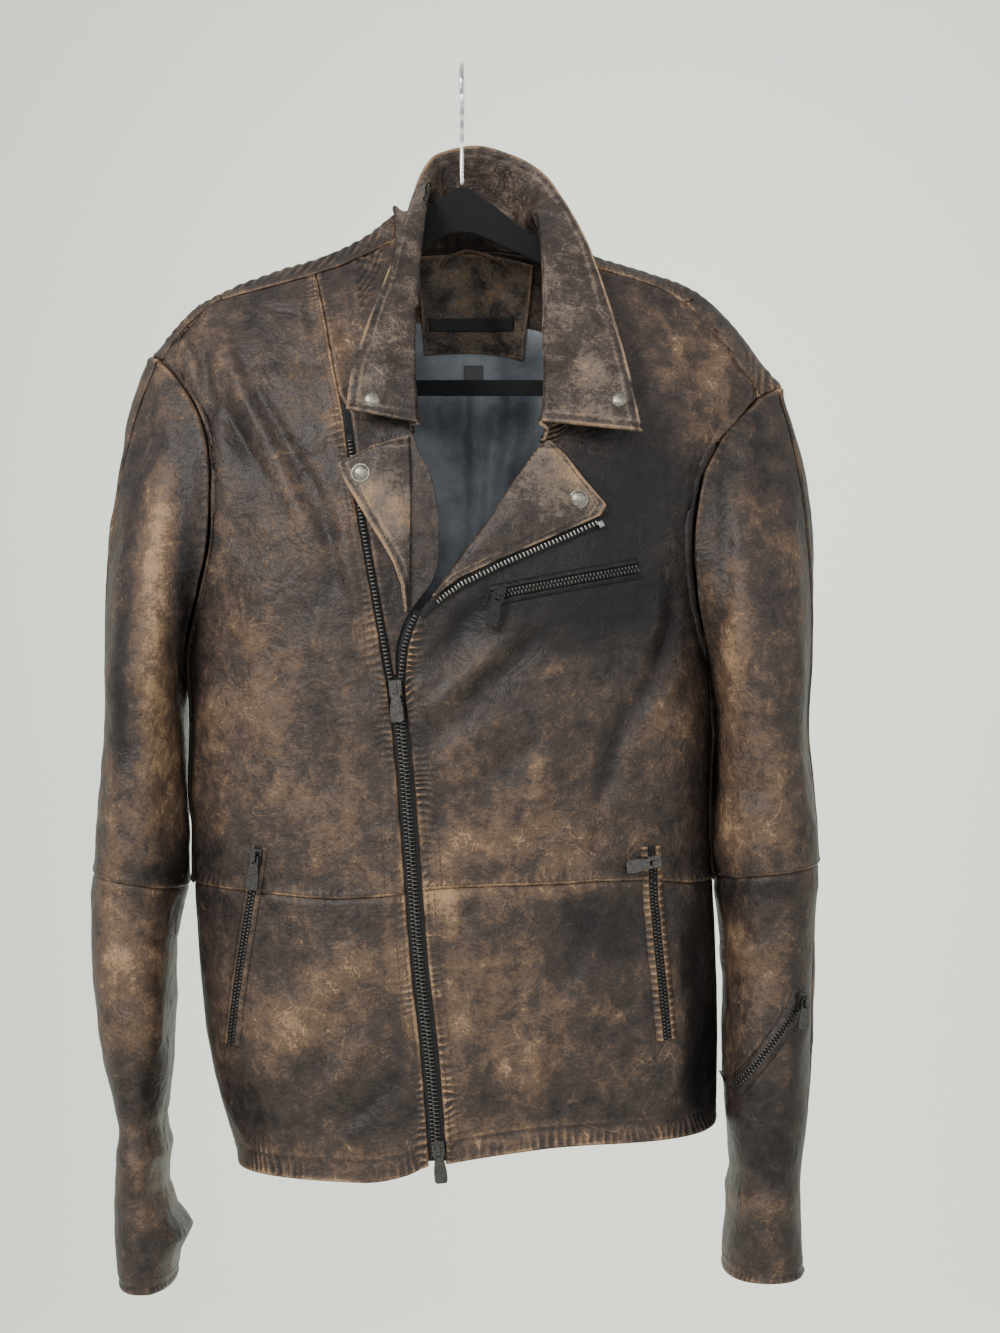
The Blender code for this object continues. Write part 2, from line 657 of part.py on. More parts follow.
def snap(name, p, out):
    """Domed cap standing off what it is set in."""
    bm = bmesh.new()
    bmesh.ops.create_uvsphere(bm, u_segments=16, v_segments=8, radius=1)
    bmesh.ops.bisect_plane(bm, geom=list(bm.verts) + list(bm.edges) + list(bm.faces), plane_co=(0, 0, 0.0),
                           plane_no=(0, 0, 1), clear_inner=True)
    bmesh.ops.contextual_create(bm, geom=[e for e in bm.edges if e.is_boundary])
    bmesh.ops.scale(bm, verts=bm.verts, vec=(SNAP_WIDE / 2, SNAP_WIDE / 2, SNAP_TALL))
    sideways = out.cross(Vector((0, 0, 1))).normalized()
    placed(bm, (p, sideways, out.cross(sideways).normalized(), out))
    finish(bm, name, "metal")


# ---------------------------------------------------------------- hanger

HANGER = dict(x_top=[0, 6, 26, 48, 75, 105, 138, 163, 177, 184, 180, 166, 148, 75, 0],
              z_top=[-88, -90, -104, -113, -129, -145, -156, -168, -184, -199, -217, -232, -241, -241, -241],
              x_low=[0, 10, 30, 54, 78, 104, 134, 155, 165, 167, 161, 153, 143, 75, 0],
              z_low=[-121, -122, -131, -142, -154, -167, -181, -195, -205, -214, -223, -228, -230,
                     -230, -230])


def ridge_under(x):
    """Highest place for the hanger's top at x, just under the leather over it."""
    half = HANGER_THICK / 2 + 0.3
    top = solve(lambda z: min(abs(depth_at(x, z, -1)), abs(depth_at(x, z, 1))) > half, -240.0, -98.0)
    return top - 6.5 - (6.0 if x > 150 else 0.0)


def build_hanger():
    outer = []
    inner = []
    count = len(HANGER["x_top"])
    for side, order in ((1, range(count)), (-1, range(count - 2, 0, -1))):
        for i in order:
            x = HANGER["x_top"][i] * side
            z = HANGER["z_top"][i]
            if 40 < abs(x) and i < 10:
                z = min(z, ridge_under(x))
            outer.append((x, z))
            inner.append((HANGER["x_low"][i] * side, HANGER["z_low"][i]))
    bm = bmesh.new()
    rims = []
    for loop in (outer, inner):
        verts = [bm.verts.new((x, -HANGER_THICK / 2, z)) for x, z in loop]
        rims += [bm.edges.new((a, b)) for a, b in zip(verts, verts[1:] + verts[:1])]
    bmesh.ops.bridge_loops(bm, edges=rims)
    grown = bmesh.ops.extrude_face_region(bm, geom=list(bm.faces), use_keep_orig=True)
    moved = [g for g in grown["geom"] if isinstance(g, bmesh.types.BMVert)]
    bmesh.ops.translate(bm, verts=moved, vec=(0, HANGER_THICK, 0))
    finish(bm, "hanger", "flock")


def build_hook():
    """Bent wire: shank, swing back, three quarters of a ring, free end turned up."""
    radius = 18.5
    centre = Vector((0, 0, WIRE / 2 - radius))
    line = [Vector((0, 0, -87.6)), Vector((0, 0, -56)), Vector((0, 3, -46)), Vector((0, 12, -34))]
    for k in range(15):
        angle = radians(-22 + 202 * k / 14)
        line.append(centre + Vector((0, cos(angle) * radius, sin(angle) * radius)))
    line += [Vector((0, -19.5, -21)), Vector((0, -22.5, -24))]
    curve = bpy.data.curves.new("hook_line", "CURVE")
    curve.dimensions = "3D"
    curve.bevel_depth = WIRE / 2
    curve.bevel_resolution = 2
    curve.use_fill_caps = True
    spline = curve.splines.new("POLY")
    spline.points.add(len(line) - 1)
    for point, p in zip(spline.points, line):
        point.co = (*p, 1)
    shape = bpy.data.objects.new("hook_line", curve)
    bpy.context.scene.collection.objects.link(shape)
    mesh = bpy.data.meshes.new_from_object(shape.evaluated_get(bpy.context.evaluated_depsgraph_get()))
    bm = bmesh.new()
    bm.from_mesh(mesh)
    bmesh.ops.remove_doubles(bm, verts=bm.verts, dist=0.001)
    bpy.data.objects.remove(shape, do_unlink=True)
    finish(bm, "hanger_hook", "metal")


# ---------------------------------------------------------------- assembly

PAINT = dict(leather=((0.075, 0.055, 0.045), 0.55, 0.0),
             tape=((0.02, 0.02, 0.022), 0.8, 0.0),
             metal=((0.32, 0.31, 0.3), 0.35, 1.0),
             lining=((0.06, 0.07, 0.09), 0.45, 0.0),
             label=((0.02, 0.02, 0.022), 0.6, 0.0),
             tag=((0.35, 0.35, 0.36), 0.7, 0.0),
             flock=((0.015, 0.015, 0.016), 0.95, 0.0))

RIGHT_LAPEL_ROOT = [(-36, -279), (-35.2, -289), (-34.6, -302), (-34.2, -318), (-34.2, -334),
                    (-34.3, -350), (-34.6, -365), (-35, -382), (-35.3, -402)]
RIGHT_LAPEL_EDGE = [(-60, -287), (-85.5, -299), (-80, -311), (-70, -328), (-61, -343),
                    (-52.5, -356.5), (-46, -368), (-40.5, -383), (-38, -402)]
LEFT_LAPEL_ROOT = [(60, -283), (54, -289.5), (48.6, -297), (41, -307), (34.5, -317), (25.5, -331),
                   (14, -347.5), (3.5, -360.5), (-9, -378), (-19.5, -394)]
LEFT_LAPEL_EDGE = [(64, -284), (74, -294), (86, -309.5), (101.5, -327.5), (97.5, -335), (79, -343.5),
                   (52, -355.5), (27, -366), (0, -378.5), (-16, -390.5)]
POCKETS = dict(right=[(-141, -573), (-146, -601), (-151, -630), (-156.5, -665), (-162, -707)],
               left=[(134, -576), (135.5, -601), (139.5, -643), (142.5, -672), (145.5, -702)],
               chest=[(26, -390), (50, -385.5), (76, -380.5), (100, -376), (124, -371.5)])
POCKET_WIDE = 7.0


def armhole_rows(front, back, band, start):
    """Armhole loop: underarm, up the front, over the band, down the back."""
    return front[start:] + band[1:-1] + back[start:][::-1]


def main():
    clean_start()
    made = build_body()
    right_top = made["right_front_inner"][-1] + made["right_front_upper"][-1][1:]
    left_top = made["left_front_upper"][-1]
    back_top = made["back_upper"][-1]
    right_band = shoulder_band("right_shoulder_band", right_top, back_top[14:], -213)
    left_band = shoulder_band("left_shoulder_band", left_top, back_top[:9][::-1], -235)

    # Armholes, then the sleeves set in them.
    loop = armhole_rows([row[-1] for row in made["right_front_upper"]],
                        [row[-1] for row in made["back_upper"]], right_band[-1], 6)
    build_sleeve("right", -1, loop, SLEEVE_RIGHT,
                 dict(front=list(range(25, 28)) + list(range(0, 12)), outer=list(range(11, 26))))
    loop = armhole_rows([row[-1] for row in made["left_front_upper"]],
                        [row[0] for row in made["back_upper"]], left_band[-1], 6)
    sleeve = build_sleeve("left", 1, loop, SLEEVE_LEFT,
                          dict(front=list(range(25, 28)) + list(range(0, 13)), outer=list(range(12, 26))))

    # Collar on the neck seam, from the wearer's right front end round to the left.
    seam = [row[0] for row in made["right_front_inner"][6:]]
    seam += right_band[0][1:-1]
    seam += back_top[8:15][::-1]
    seam += left_band[0][1:-1][::-1]
    seam += [row[0] for row in made["left_front_upper"][11:]][::-1]
    collar = build_collar(seam)

    # Main zip: a tape on each front, and the end that runs out along the lapel.
    low = across(HEM)
    rows = [i / 16 for i in range(17)]
    grid = patch(-1, seam_turn(RIGHT_EDGE, -1), seam_turn(RIGHT_EDGE, -1, ZIP_WIDE + 0.35),
                 low, -276.0, 1, rows)
    panel("right_zip_tape", grid, "tape", ZIP_THICK, -0.6)

    def beside(reach):
        return lambda z: seam_turn(LEFT_EDGE, -1, reach - 0.9 * min(1.0, max(0.0, (z + 462) / 10)))(z)
    grid = patch(-1, beside(-ZIP_WIDE - 0.35), beside(0.0), low, -397.0, 1, [i / 30 for i in range(31)])
    panel("left_zip_tape", grid, "tape", ZIP_THICK, -0.6)
    ribbon("lapel_zip_tape", [(-13, -393.5), (3, -382), (28, -369.5), (53, -359), (80, -347), (95, -340)],
           4.6, LAY, ZIP_THICK, "tape")

    # Lapels lie folded back over the fronts.
    laid("right_lapel", between(RIGHT_LAPEL_ROOT, RIGHT_LAPEL_EDGE, 4), [0.4, 0.6, 0.9, 1.2, 1.5], LEATHER)
    laid("left_lapel", between(LEFT_LAPEL_ROOT, LEFT_LAPEL_EDGE, 5), [0.4, 0.5, 0.6, 0.8, 1.0, 1.2], LEATHER)

    # Pocket zips, with a slider and a pull on each.
    for who, path in POCKETS.items():
        ribbon(who + "_pocket_zip", path, POCKET_WIDE, LAY, 1.6, "tape")
    fittings = (
        ("main_top", -44.5, -455, -0.25, Vector((0.07, 0, -1))),
        ("main_bottom", -14.8, -775, -0.25, Vector((0.1, 0, -1))),
        ("right_pocket", -141, -573, 2.3, Vector((-0.12, 0, -1))),
        ("left_pocket", 134, -577, 2.3, Vector((-1, 0, -0.12))),
        ("chest_pocket", 27, -390, 2.3, Vector((-0.25, 0, -1))),
    )
    for name, x, z, lift, way in fittings:
        frame = frame_at(on_body(x, z, -1, lift), on_body_normal(x, z), way)
        slider(name + "_slider", frame)
        pull_tab(name + "_pull", frame, 0.0)

    # Forearm zip on the wearer's left sleeve.
    levels = sleeve[0]
    corners = [p for line in levels for p in line]
    wide = len(levels[0])
    quads = [(r * wide + c, r * wide + c + 1, (r + 1) * wide + c + 1, (r + 1) * wide + c)
             for r in range(len(levels) - 1) for c in range(wide - 1)]
    tree = BVHTree.FromPolygons(corners, quads)

    def on_sleeve(x, z, lift):
        spot, out, _, _ = tree.ray_cast(Vector((x, -300, z)), Vector((0, 1, 0)))
        out = out if out.y < 0 else -out
        return spot + out * lift
    zip_path = [(195, -740), (204, -728), (213, -716), (222, -704), (231, -691), (238, -679), (243, -668)]
    ribbon("forearm_zip", zip_path, 6.0, 1.7, 1.6, "tape", on_sleeve)
    top = on_sleeve(239, -676, 3.3)
    out = (on_sleeve(239, -676, 4.3) - top).normalized()
    frame = frame_at(top, out, Vector((-0.1, 0.0, -1)))
    slider("forearm_slider", frame)
    pull_tab("forearm_pull", frame, 0.0, 13.0)

    # Snaps of the collar corners and the lapels.
    snap("right_lapel_snap", on_body(-68.5, -306, -1, 3.6), on_body_normal(-68.5, -306))
    snap("left_lapel_snap", on_body(82, -324, -1, 3.8), on_body_normal(82, -324))
    for name, k, s in (("right_collar_snap", 1, 0.62), ("left_collar_snap", len(collar) - 2, 0.80)):
        a = collar[k][2].lerp(collar[k][5], s)
        along = collar[k + 1][4] - collar[k - 1][4]
        out = (collar[k][5] - collar[k][2]).cross(along).normalized()
        out = out if out.y < 0 else -out
        snap(name, a + out * (COLLAR_THICK / 2 + LAY), out)

    # Inside the back: neck facing, blank label and tag, hanging loop and lining.
    under = -LEATHER - LAY
    upper = made["back_upper"]
    grid = [row[8:15] for row in upper[14:]]
    for row in grid:
        row[0] = row[0].lerp(row[1], 0.55)
        row[-1] = row[-1].lerp(row[-2], 0.85)
    grid[-1] = [a.lerp(b, 0.12) for a, b in zip(grid[-1], grid[-2])]
    panel("neck_facing", grid, "leather", 1.2, under - 0.5)
    grid = [row[3:23] for row in made["back_lower"][1:]] + [row[3:23] for row in upper[1:14]]
    grid[-1] = [a.lerp(b[3 + i], 0.75) for i, (a, b) in enumerate(zip(grid[-1], [upper[14]] * 20))]
    panel("back_lining", grid, "lining", LINING, under)

    def inside(x, z, lift):
        return on_body(x, z, 1, under - 1.2 - 1.6 - lift)
    ribbon("neck_label", [(-26, -179), (-8, -179), (8, -179), (24, -179), (38.5, -179)], 10.0, 0.0, 0.6,
           "label", inside)
    ribbon("care_tag", [(0.5, -214), (8, -214), (15.5, -214)], 10.0, 0.0, 0.5, "tag",
           lambda x, z, lift: inside(x, z, lift - 0.8))
    loop_path = [(-17, -146), (-13, -139), (-4, -134), (8, -132), (20, -134), (29, -139), (33, -147)]
    ribbon("hanging_loop", loop_path, 3.0, 0.9, 1.2, "label", inside)
    build_hanger()
    build_hook()


def on_body_normal(x, z):
    return body_normal(Vector((x, depth_at(x, z, -1), z)))


main()
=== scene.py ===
# %% [markdown]
# A worn leather biker jacket, hung open on a slim flocked hanger.  The real jacket is cut
# from heavy cowhide, sewn panel to panel with folded seams, and years of wear have rubbed
# the dark finish through to tan on every edge and raised fold.  This lesson takes each
# panel from the frame's plan, lays a thin shell on it, presses the creases in and
# then finishes the hide, the zips and the trims.

# %% Frame, view and room
import bpy
import bmesh
import numpy as np
from math import cos, pi, radians, sin
from mathutils import Matrix, Vector
from mathutils.bvhtree import BVHTree


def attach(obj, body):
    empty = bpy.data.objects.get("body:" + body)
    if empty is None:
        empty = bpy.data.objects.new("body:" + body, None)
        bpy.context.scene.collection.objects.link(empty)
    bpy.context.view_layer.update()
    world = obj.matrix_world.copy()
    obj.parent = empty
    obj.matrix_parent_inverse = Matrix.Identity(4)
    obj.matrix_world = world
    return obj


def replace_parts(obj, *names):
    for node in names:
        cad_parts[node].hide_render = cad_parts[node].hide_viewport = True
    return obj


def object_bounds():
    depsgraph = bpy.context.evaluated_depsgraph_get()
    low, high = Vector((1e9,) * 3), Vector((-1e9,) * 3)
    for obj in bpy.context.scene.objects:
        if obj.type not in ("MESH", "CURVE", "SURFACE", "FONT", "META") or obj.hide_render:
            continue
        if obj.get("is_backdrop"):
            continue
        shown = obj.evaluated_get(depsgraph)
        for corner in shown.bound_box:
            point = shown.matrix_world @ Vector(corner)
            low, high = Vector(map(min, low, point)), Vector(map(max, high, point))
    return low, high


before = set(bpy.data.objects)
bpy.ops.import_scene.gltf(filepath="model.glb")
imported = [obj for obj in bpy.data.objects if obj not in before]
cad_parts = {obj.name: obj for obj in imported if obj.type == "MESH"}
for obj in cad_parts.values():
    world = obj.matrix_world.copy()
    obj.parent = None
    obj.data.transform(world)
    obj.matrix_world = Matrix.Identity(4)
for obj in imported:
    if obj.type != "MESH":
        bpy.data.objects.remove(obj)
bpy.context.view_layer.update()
scene = bpy.context.scene
MM = 0.001

eye = bpy.data.cameras.new("view")
eye.sensor_width = 36
eye.lens = 66.2
eye.clip_end = 30
camera = bpy.data.objects.new("view", eye)
camera.location = (0.028, -1.8, -0.440)
camera.rotation_euler = (radians(90), 0, 0)
scene.collection.objects.link(camera)
scene.camera = camera

# %% [markdown]
# The room is plain: a pale floor that curves up into a pale wall well behind.  A broad
# window light comes from the upper left of the front, two weaker ones fill from the right
# and from in front, one washes the wall, and the sky is even.

# %% Room and lights
ROOM_REACH = 7.0
ROOM_FLOOR = (0, -2.0, -1.8)
ROOM_COVE = 1.6


def plain(name, colour, rough):
    """Plain painted surface."""
    made = bpy.data.materials.new(name)
    made.use_nodes = True
    shader = made.node_tree.nodes["Principled BSDF"]
    shader.inputs["Base Color"].default_value = (*colour, 1)
    shader.inputs["Roughness"].default_value = rough
    return made


bm = bmesh.new()
bmesh.ops.create_grid(bm, x_segments=1, y_segments=1, size=ROOM_REACH)
bmesh.ops.translate(bm, verts=bm.verts, vec=ROOM_FLOOR)
rear = [e for e in bm.edges if all(v.co.y > 1 for v in e.verts)]
raised = bmesh.ops.extrude_edge_only(bm, edges=rear)
wall_top = [g for g in raised["geom"] if isinstance(g, bmesh.types.BMVert)]
bmesh.ops.translate(bm, verts=wall_top, vec=(0, 0, ROOM_REACH))
bend = [e for e in bm.edges if len(e.link_faces) == 2]
bmesh.ops.bevel(bm, geom=bend, offset=ROOM_COVE, segments=16, profile=0.5, affect="EDGES",
                material=-1)
room_mesh = bpy.data.meshes.new("room")
bm.to_mesh(room_mesh)
bm.free()
room = bpy.data.objects.new("room", room_mesh)
for face in room_mesh.polygons:
    face.use_smooth = True
room_mesh.materials.append(plain("room_paint", (0.86, 0.885, 0.815), 0.9))
scene.collection.objects.link(room)
room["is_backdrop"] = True


def area_light(name, place, target, power, size, colour):
    """Square light of a power in watts, turned to face its target."""
    lamp = bpy.data.lights.new(name, "AREA")
    lamp.energy = power
    lamp.size = size
    lamp.color = colour
    holder = bpy.data.objects.new(name, lamp)
    holder.location = place
    holder.rotation_euler = (Vector(target) - Vector(place)).to_track_quat("-Z", "Y").to_euler()
    scene.collection.objects.link(holder)


area_light("window", (-1.5, -1.9, 0.9), (0, 0, -0.4), 47, 0.9, (1.0, 0.99, 0.97))
area_light("fill", (1.9, -1.6, 0.2), (0, 0, -0.45), 7, 1.6, (0.95, 0.98, 1.0))
area_light("front", (0.15, -2.6, 0.25), (0, 0, -0.42), 8, 0.9, (1.0, 1.0, 1.0))
area_light("wall_wash", (0.5, 1.7, 0.6), (0.4, 5, -0.4), 140, 1.6, (0.98, 1.0, 0.94))
sky = bpy.data.worlds.new("sky")
scene.world = sky
sky.use_nodes = True
glow = sky.node_tree.nodes["Background"].inputs
glow["Color"].default_value = (0.93, 0.96, 0.97, 1)
glow["Strength"].default_value = 0.58

# %% [markdown]
# The pattern.  Level rings say how wide, deep and square the hanging body is at each
# height, and the seams are drawn on it as short tables, all in millimetres.  A jacket's
# pattern is kept the same way: a block for the body, and seam lines marked on it.

# %% Pattern tables
ZIP_WIDE = 5.2
SEAM_GAP = 0.35
LEATHER = 2.0
COLLAR_THICK = 2.4
BODY = dict(
    height=[-800, -760, -700, -600, -540, -470, -440, -400, -350, -310, -270, -240,
            -215, -195, -178, -162, -150, -138, -126, -112, -100],
    right=[163, 174, 187, 195, 197, 199, 200, 203, 205, 208, 213, 220,
           227, 212, 197, 167, 135, 102, 76, 56, 44],
    left=[184, 186, 187, 183.5, 182, 180, 179.5, 181, 189, 200, 216, 236,
          219, 202, 189, 168, 133, 96, 75, 50, 40],
    front=[96, 97, 99, 100, 100, 100, 100, 100, 98, 94, 87, 79,
           68, 58, 48, 38, 30, 21, 12, 8, 5],
    back=[84, 85, 87, 88, 88, 89, 89, 89, 89, 88, 87, 86,
          84, 82, 80, 78, 77, 77, 77, 74, 70],
    square=[2.5, 2.5, 2.5, 2.5, 2.5, 2.5, 2.5, 2.5, 2.4, 2.3, 2.2, 2.1,
            1.9, 1.8, 1.75, 1.7, 1.7, 1.7, 1.7, 1.7, 1.7],
)

# Seams drawn on the body: height down the piece and sideways place.
RIGHT_EDGE = dict(
    height=[-800, -775, -720, -640, -560, -500, -454, -434, -406, -371, -322, -290, -262, -229,
        -192, -150],
    x=[-21, -22, -26, -34.5, -40.5, -45, -50, -53.6, -58.6, -65, -73.7, -78.6, -82.5, -89.5,
        -97, -107])
RIGHT_INNER = dict(
    height=[-446, -430, -407, -395, -380, -364, -336, -319, -307, -289, -273, -262, -205, -170,
        -150, -130],
    x=[-44.6, -44.3, -37.6, -29.4, -18.5, -14.5, -14.5, -17, -20, -29, -34, -37, -45, -47.5,
        -48.5, -47])
LEFT_EDGE = dict(
    height=[-800, -776, -720, -640, -560, -500, -454, -430, -407, -395, -378, -359, -346, -329,
        -315, -295, -280, -262, -212, -170, -150, -136],
    x=[-9, -10, -14, -22.5, -28.5, -33.5, -38.5, -36.5, -29.5, -21.5, -10, 3.5, 14, 25.7, 34.7,
        48.6, 59, 65, 70, 72, 71, 70])
ARMHOLE_RIGHT = dict(
    height=[-436, -430, -415, -385, -345, -305, -281, -267, -253, -240, -226, -217],
    depth=[0, 18, 37, 52, 58, 56, 52, 48, 43, 36, 26, 17])
ARMHOLE_LEFT = dict(height=[-443, -436, -418, -385, -345, -305, -284, -271, -262, -254, -246],
                    depth=[0, 18, 37, 52, 58, 56, 51, 47.5, 44, 40, 36])
# Front seam of the shoulder bands; the seam behind them is its twin.
YOKE_RIGHT = dict(
    x=[-217, -213, -207, -196, -187, -170, -139, -102, -84, -66, -48],
    height=[-217, -207, -197, -185, -176, -171, -163.8, -153.3, -146.5, -138, -128])
YOKE_LEFT = dict(x=[70, 84, 99, 120, 146, 166, 182, 195, 204, 209, 213],
                 height=[-139, -144, -150, -156, -165.5, -178.5, -189, -205, -221, -233, -246])
WAIST = dict(
    x=[-200, -156, -135, -90, -42, -21, 14, 70, 98, 126, 170, 190],
    height=[-596, -598, -599.5, -602, -599, -595, -593, -591.5, -590, -590, -594, -594])
HEM = dict(
    x=[-170, -158, -146, -128, -90, -56, -36, -20, -10, 14, 42, 70, 98, 133, 170, 190],
    height=[-797, -801, -804, -804.5, -802, -799, -794, -787, -786, -782, -778, -775, -774,
        -774, -773, -770])
SLEEVE_RIGHT = dict(
    height=[-480, -520, -567, -600, -641, -685, -729, -772, -812, -842, -886],
    middle=[-230.3, -231, -232, -234, -237, -237, -235, -231, -231, -227, -226.5],
    half=[27, 30, 32.5, 33, 30, 27, 23, 17, 19.5, 23, 21],
    deep=[79, 78, 74, 69, 66, 62, 58, 55, 54, 53, 52],
    forward=[0, 0, 2, 4, 6, 8, 9, 10, 10, 10, 10], tilt=[0, 2, 6, 12, 8, 4, 0, 0, 0, 0, 0])
SLEEVE_LEFT = dict(
    height=[-480, -520, -567, -592, -641, -685, -729, -770, -808, -840, -878],
    middle=[217.5, 219.3, 222, 222.5, 222.5, 222, 221.5, 221.5, 221, 220, 219.5],
    half=[34.5, 36.3, 37, 36.8, 33.3, 32, 32, 29, 25, 26.5, 29],
    deep=[79, 78, 74, 70, 66, 62, 58, 55, 54, 53, 52],
    forward=[0, 0, 2, 4, 6, 8, 9, 10, 10, 10, 10], tilt=[0, 2, 6, 10, 6, 2, 0, 0, 0, 0, 0])
COLLAR = dict(
    share=[0, 0.1, 0.2, 0.28, 0.35, 0.42, 0.46, 0.5, 0.56, 0.62, 0.68, 0.75, 0.84, 0.92, 1],
    roll_x=[-33, -34.5, -34, -32, -26, -23, -12, 14, 36, 50, 55, 60, 62, 64, 63],
    roll_y=[-99, -91, -66, -40, -17, 14, 52, 66, 60, 38, 5, -34, -60, -88, -99],
    roll_z=[-270, -237, -197, -152, -99, -83, -84, -86, -90, -98, -106, -146, -202, -242, -270],
    free_x=[-79, -76, -66, -53, -42, -35, -20, 8, 36, 62, 78, 92, 107, 119, 127],
    free_y=[-100, -95, -78, -56, -28, 6, 40, 50, 48, 42, 18, -14, -54, -87, -104],
    free_z=[-261, -236, -200, -162, -122, -88, -56, -47, -54, -70, -98, -131, -183, -235, -277])

# %% [markdown]
# The form.  Every measure between two rows of a table is read off one smooth curve, so a
# ring, a seam or a sleeve has no corners where the maker put none.  A height and an angle
# then give one place on the body, and the slope of the form gives its outward direction.


# %% Smooth tables
CURVES = {}


def curve(table, key, column):
    """Rows of a table with the slope at each, so that no stretch overshoots."""
    name = (id(table), key, column)
    if name not in CURVES:
        xs = np.array(table[key], float)
        ys = np.array(table[column], float)
        if xs[0] > xs[-1]:
            xs, ys = xs[::-1], ys[::-1]
        rise = np.diff(ys) / np.diff(xs)
        a, b = rise[:-1], rise[1:]
        same = a * b > 0
        both = np.where(same, 2 * a * b / np.where(same, a + b, 1), 0)
        CURVES[name] = (xs, ys, np.concatenate([rise[:1], both, rise[-1:]]), table)
    return CURVES[name]


def between_rows(f, span, low, high, slope_low, slope_high):
    """Values a share f of the way from one row to the next, with the slopes of both rows."""
    return ((2 * f ** 3 - 3 * f ** 2 + 1) * low + (f ** 3 - 2 * f ** 2 + f) * span * slope_low
            + (3 * f ** 2 - 2 * f ** 3) * high + (f ** 3 - f ** 2) * span * slope_high)


def look(table, key, at, column):
    """Smooth values of one column of a table at places along another."""
    xs, ys, slope, _ = curve(table, key, column)
    at = np.clip(np.asarray(at, float), xs[0], xs[-1])
    i = np.clip(np.searchsorted(xs, at) - 1, 0, len(xs) - 2)
    span = xs[i + 1] - xs[i]
    return between_rows((at - xs[i]) / span, span, ys[i], ys[i + 1], slope[i], slope[i + 1])


print("waist seam at the zip, mm:", round(float(look(WAIST, "x", -42, "height")), 1))

# %% [markdown]
# The body is a stack of rounded rings: each has its own reach to the right and the left,
# its own depth to the front and the back, and a squareness, where 2 is an oval.


# %% Form of the body
def ring(z, side, face):
    """Reach, depth and squareness of the body rings at these heights."""
    right, left, front, rear, square = (look(BODY, "height", z, column) for column in
                                        ("right", "left", "front", "back", "square"))
    reach = np.where(np.asarray(side) < 0, right, left)
    depth = np.where(np.asarray(face) < 0, front, rear)
    return reach, depth, square


def turn_of(x, z, face):
    """Angle round the ring of a sideways place: 0 is the wearer's left, the front negative."""
    reach, depth, square = ring(z, x, face)
    angle = np.arccos(np.minimum(1, abs(x) / reach) ** (square / 2))
    return face * np.where(x >= 0, angle, pi - angle)


def body(turn, z):
    """Points of the body form for angles and heights."""
    c, s = np.cos(turn), np.sin(turn)
    reach, depth, square = ring(z, np.where(c >= 0, 1, -1), np.where(s >= 0, 1, -1))
    return np.stack([np.sign(c) * reach * abs(c) ** (2 / square),
                     np.sign(s) * depth * abs(s) ** (2 / square), z + 0 * c], -1)


def level(p):
    """How far out places lie: 1 on the body form, less inside it."""
    reach, depth, square = ring(p[..., 2], p[..., 0], p[..., 1])
    return (abs(p[..., 0]) / reach) ** square + (abs(p[..., 1]) / depth) ** square


def unit(v):
    """The same directions, each of length 1."""
    return v / np.maximum(1e-9, np.linalg.norm(v, axis=-1, keepdims=True))


def body_normal(p):
    """Outward direction of the body form, felt 1.5 mm to each side."""
    return unit(np.stack([level(p + d) - level(p - d) for d in 1.5 * np.eye(3)], -1))


def on_body(x, z, face=-1, lift=0.0):
    """Points on the front or back of the body, lifted off it."""
    x, z = np.broadcast_arrays(np.asarray(x, float), np.asarray(z, float))
    reach, depth, square = ring(z, x, face)
    y = face * depth * (1 - np.minimum(1, abs(x) / reach) ** square) ** (1 / square)
    p = np.stack([x, y, z], -1)
    return p + body_normal(p) * np.asarray(lift)[..., None]


print("chest ring, mm:", [round(float(v), 1) for v in ring(-350.0, 1, -1)])

# %% [markdown]
# A panel is the stretch of the body between four seams.  Its grid runs bottom to top and
# seam to seam, so the hide's own directions stay known: seams, creases and stitches are
# all laid along it.  The side seams end at the underarm, where the armhole takes over.


# %% Panels between seams
SEARCH_STEP = 2.5
BODY_FOOT, BODY_TOP = -800.0, -95.0


def first_above(test, low, high):
    """First heights, going up, where a test stops holding."""
    climb = SEARCH_STEP * np.arange(1 + int((high - np.min(low)) / SEARCH_STEP))[:, None]
    holds = test(low + climb) & (low + climb < high)
    holds[0] = True
    low = low + SEARCH_STEP * (np.argmin(holds, 0) - 1)
    top = np.minimum(high, low + SEARCH_STEP)
    for _ in range(22):
        mid = (low + top) / 2
        holds = test(mid)
        low, top = np.where(holds, mid, low), np.where(holds, top, mid)
    return (low + top) / 2


def patch(inner_turn, outer_turn, low, high, cols, rows):
    """Grid on the body between two side curves and two height curves, or from a set height."""
    u = np.linspace(0, 1, cols + 1)

    def at(z):
        return body(inner_turn(z) * (1 - u) + outer_turn(z) * u, z)

    def below(seam):
        return lambda z: z < seam(at(z)[..., 0])

    bottom = (first_above(below(low), BODY_FOOT + 0 * u, BODY_TOP) if callable(low)
              else low + 0 * u)
    top = first_above(below(high), bottom, BODY_TOP)
    v = np.linspace(0, 1, rows + 1)
    return np.stack([at(bottom + (top - bottom) * s) for s in v])


def side_turn(side, face, armhole):
    """Angle of the side seam, and above the underarm of the armhole seam."""
    edge = pi if side < 0 else 0.0

    def at(z):
        up = np.clip(z, armhole["height"][0], armhole["height"][-1])
        _, depth, square = ring(up, side, face)
        cut_in = np.minimum(1, look(armhole, "height", up, "depth") / depth)
        off = np.arcsin(cut_in ** (square / 2))
        off = np.where(z <= armhole["height"][0], 0, off)
        return face * (edge - off if side < 0 else off)
    return at


def seam_turn(table, face, shift=None):
    """Angle of an upright seam at any height, set sideways by a shift where one is given."""
    return lambda z: turn_of(
        look(table, "height", z, "x") + (shift(z) if shift else 0.0), z, face)


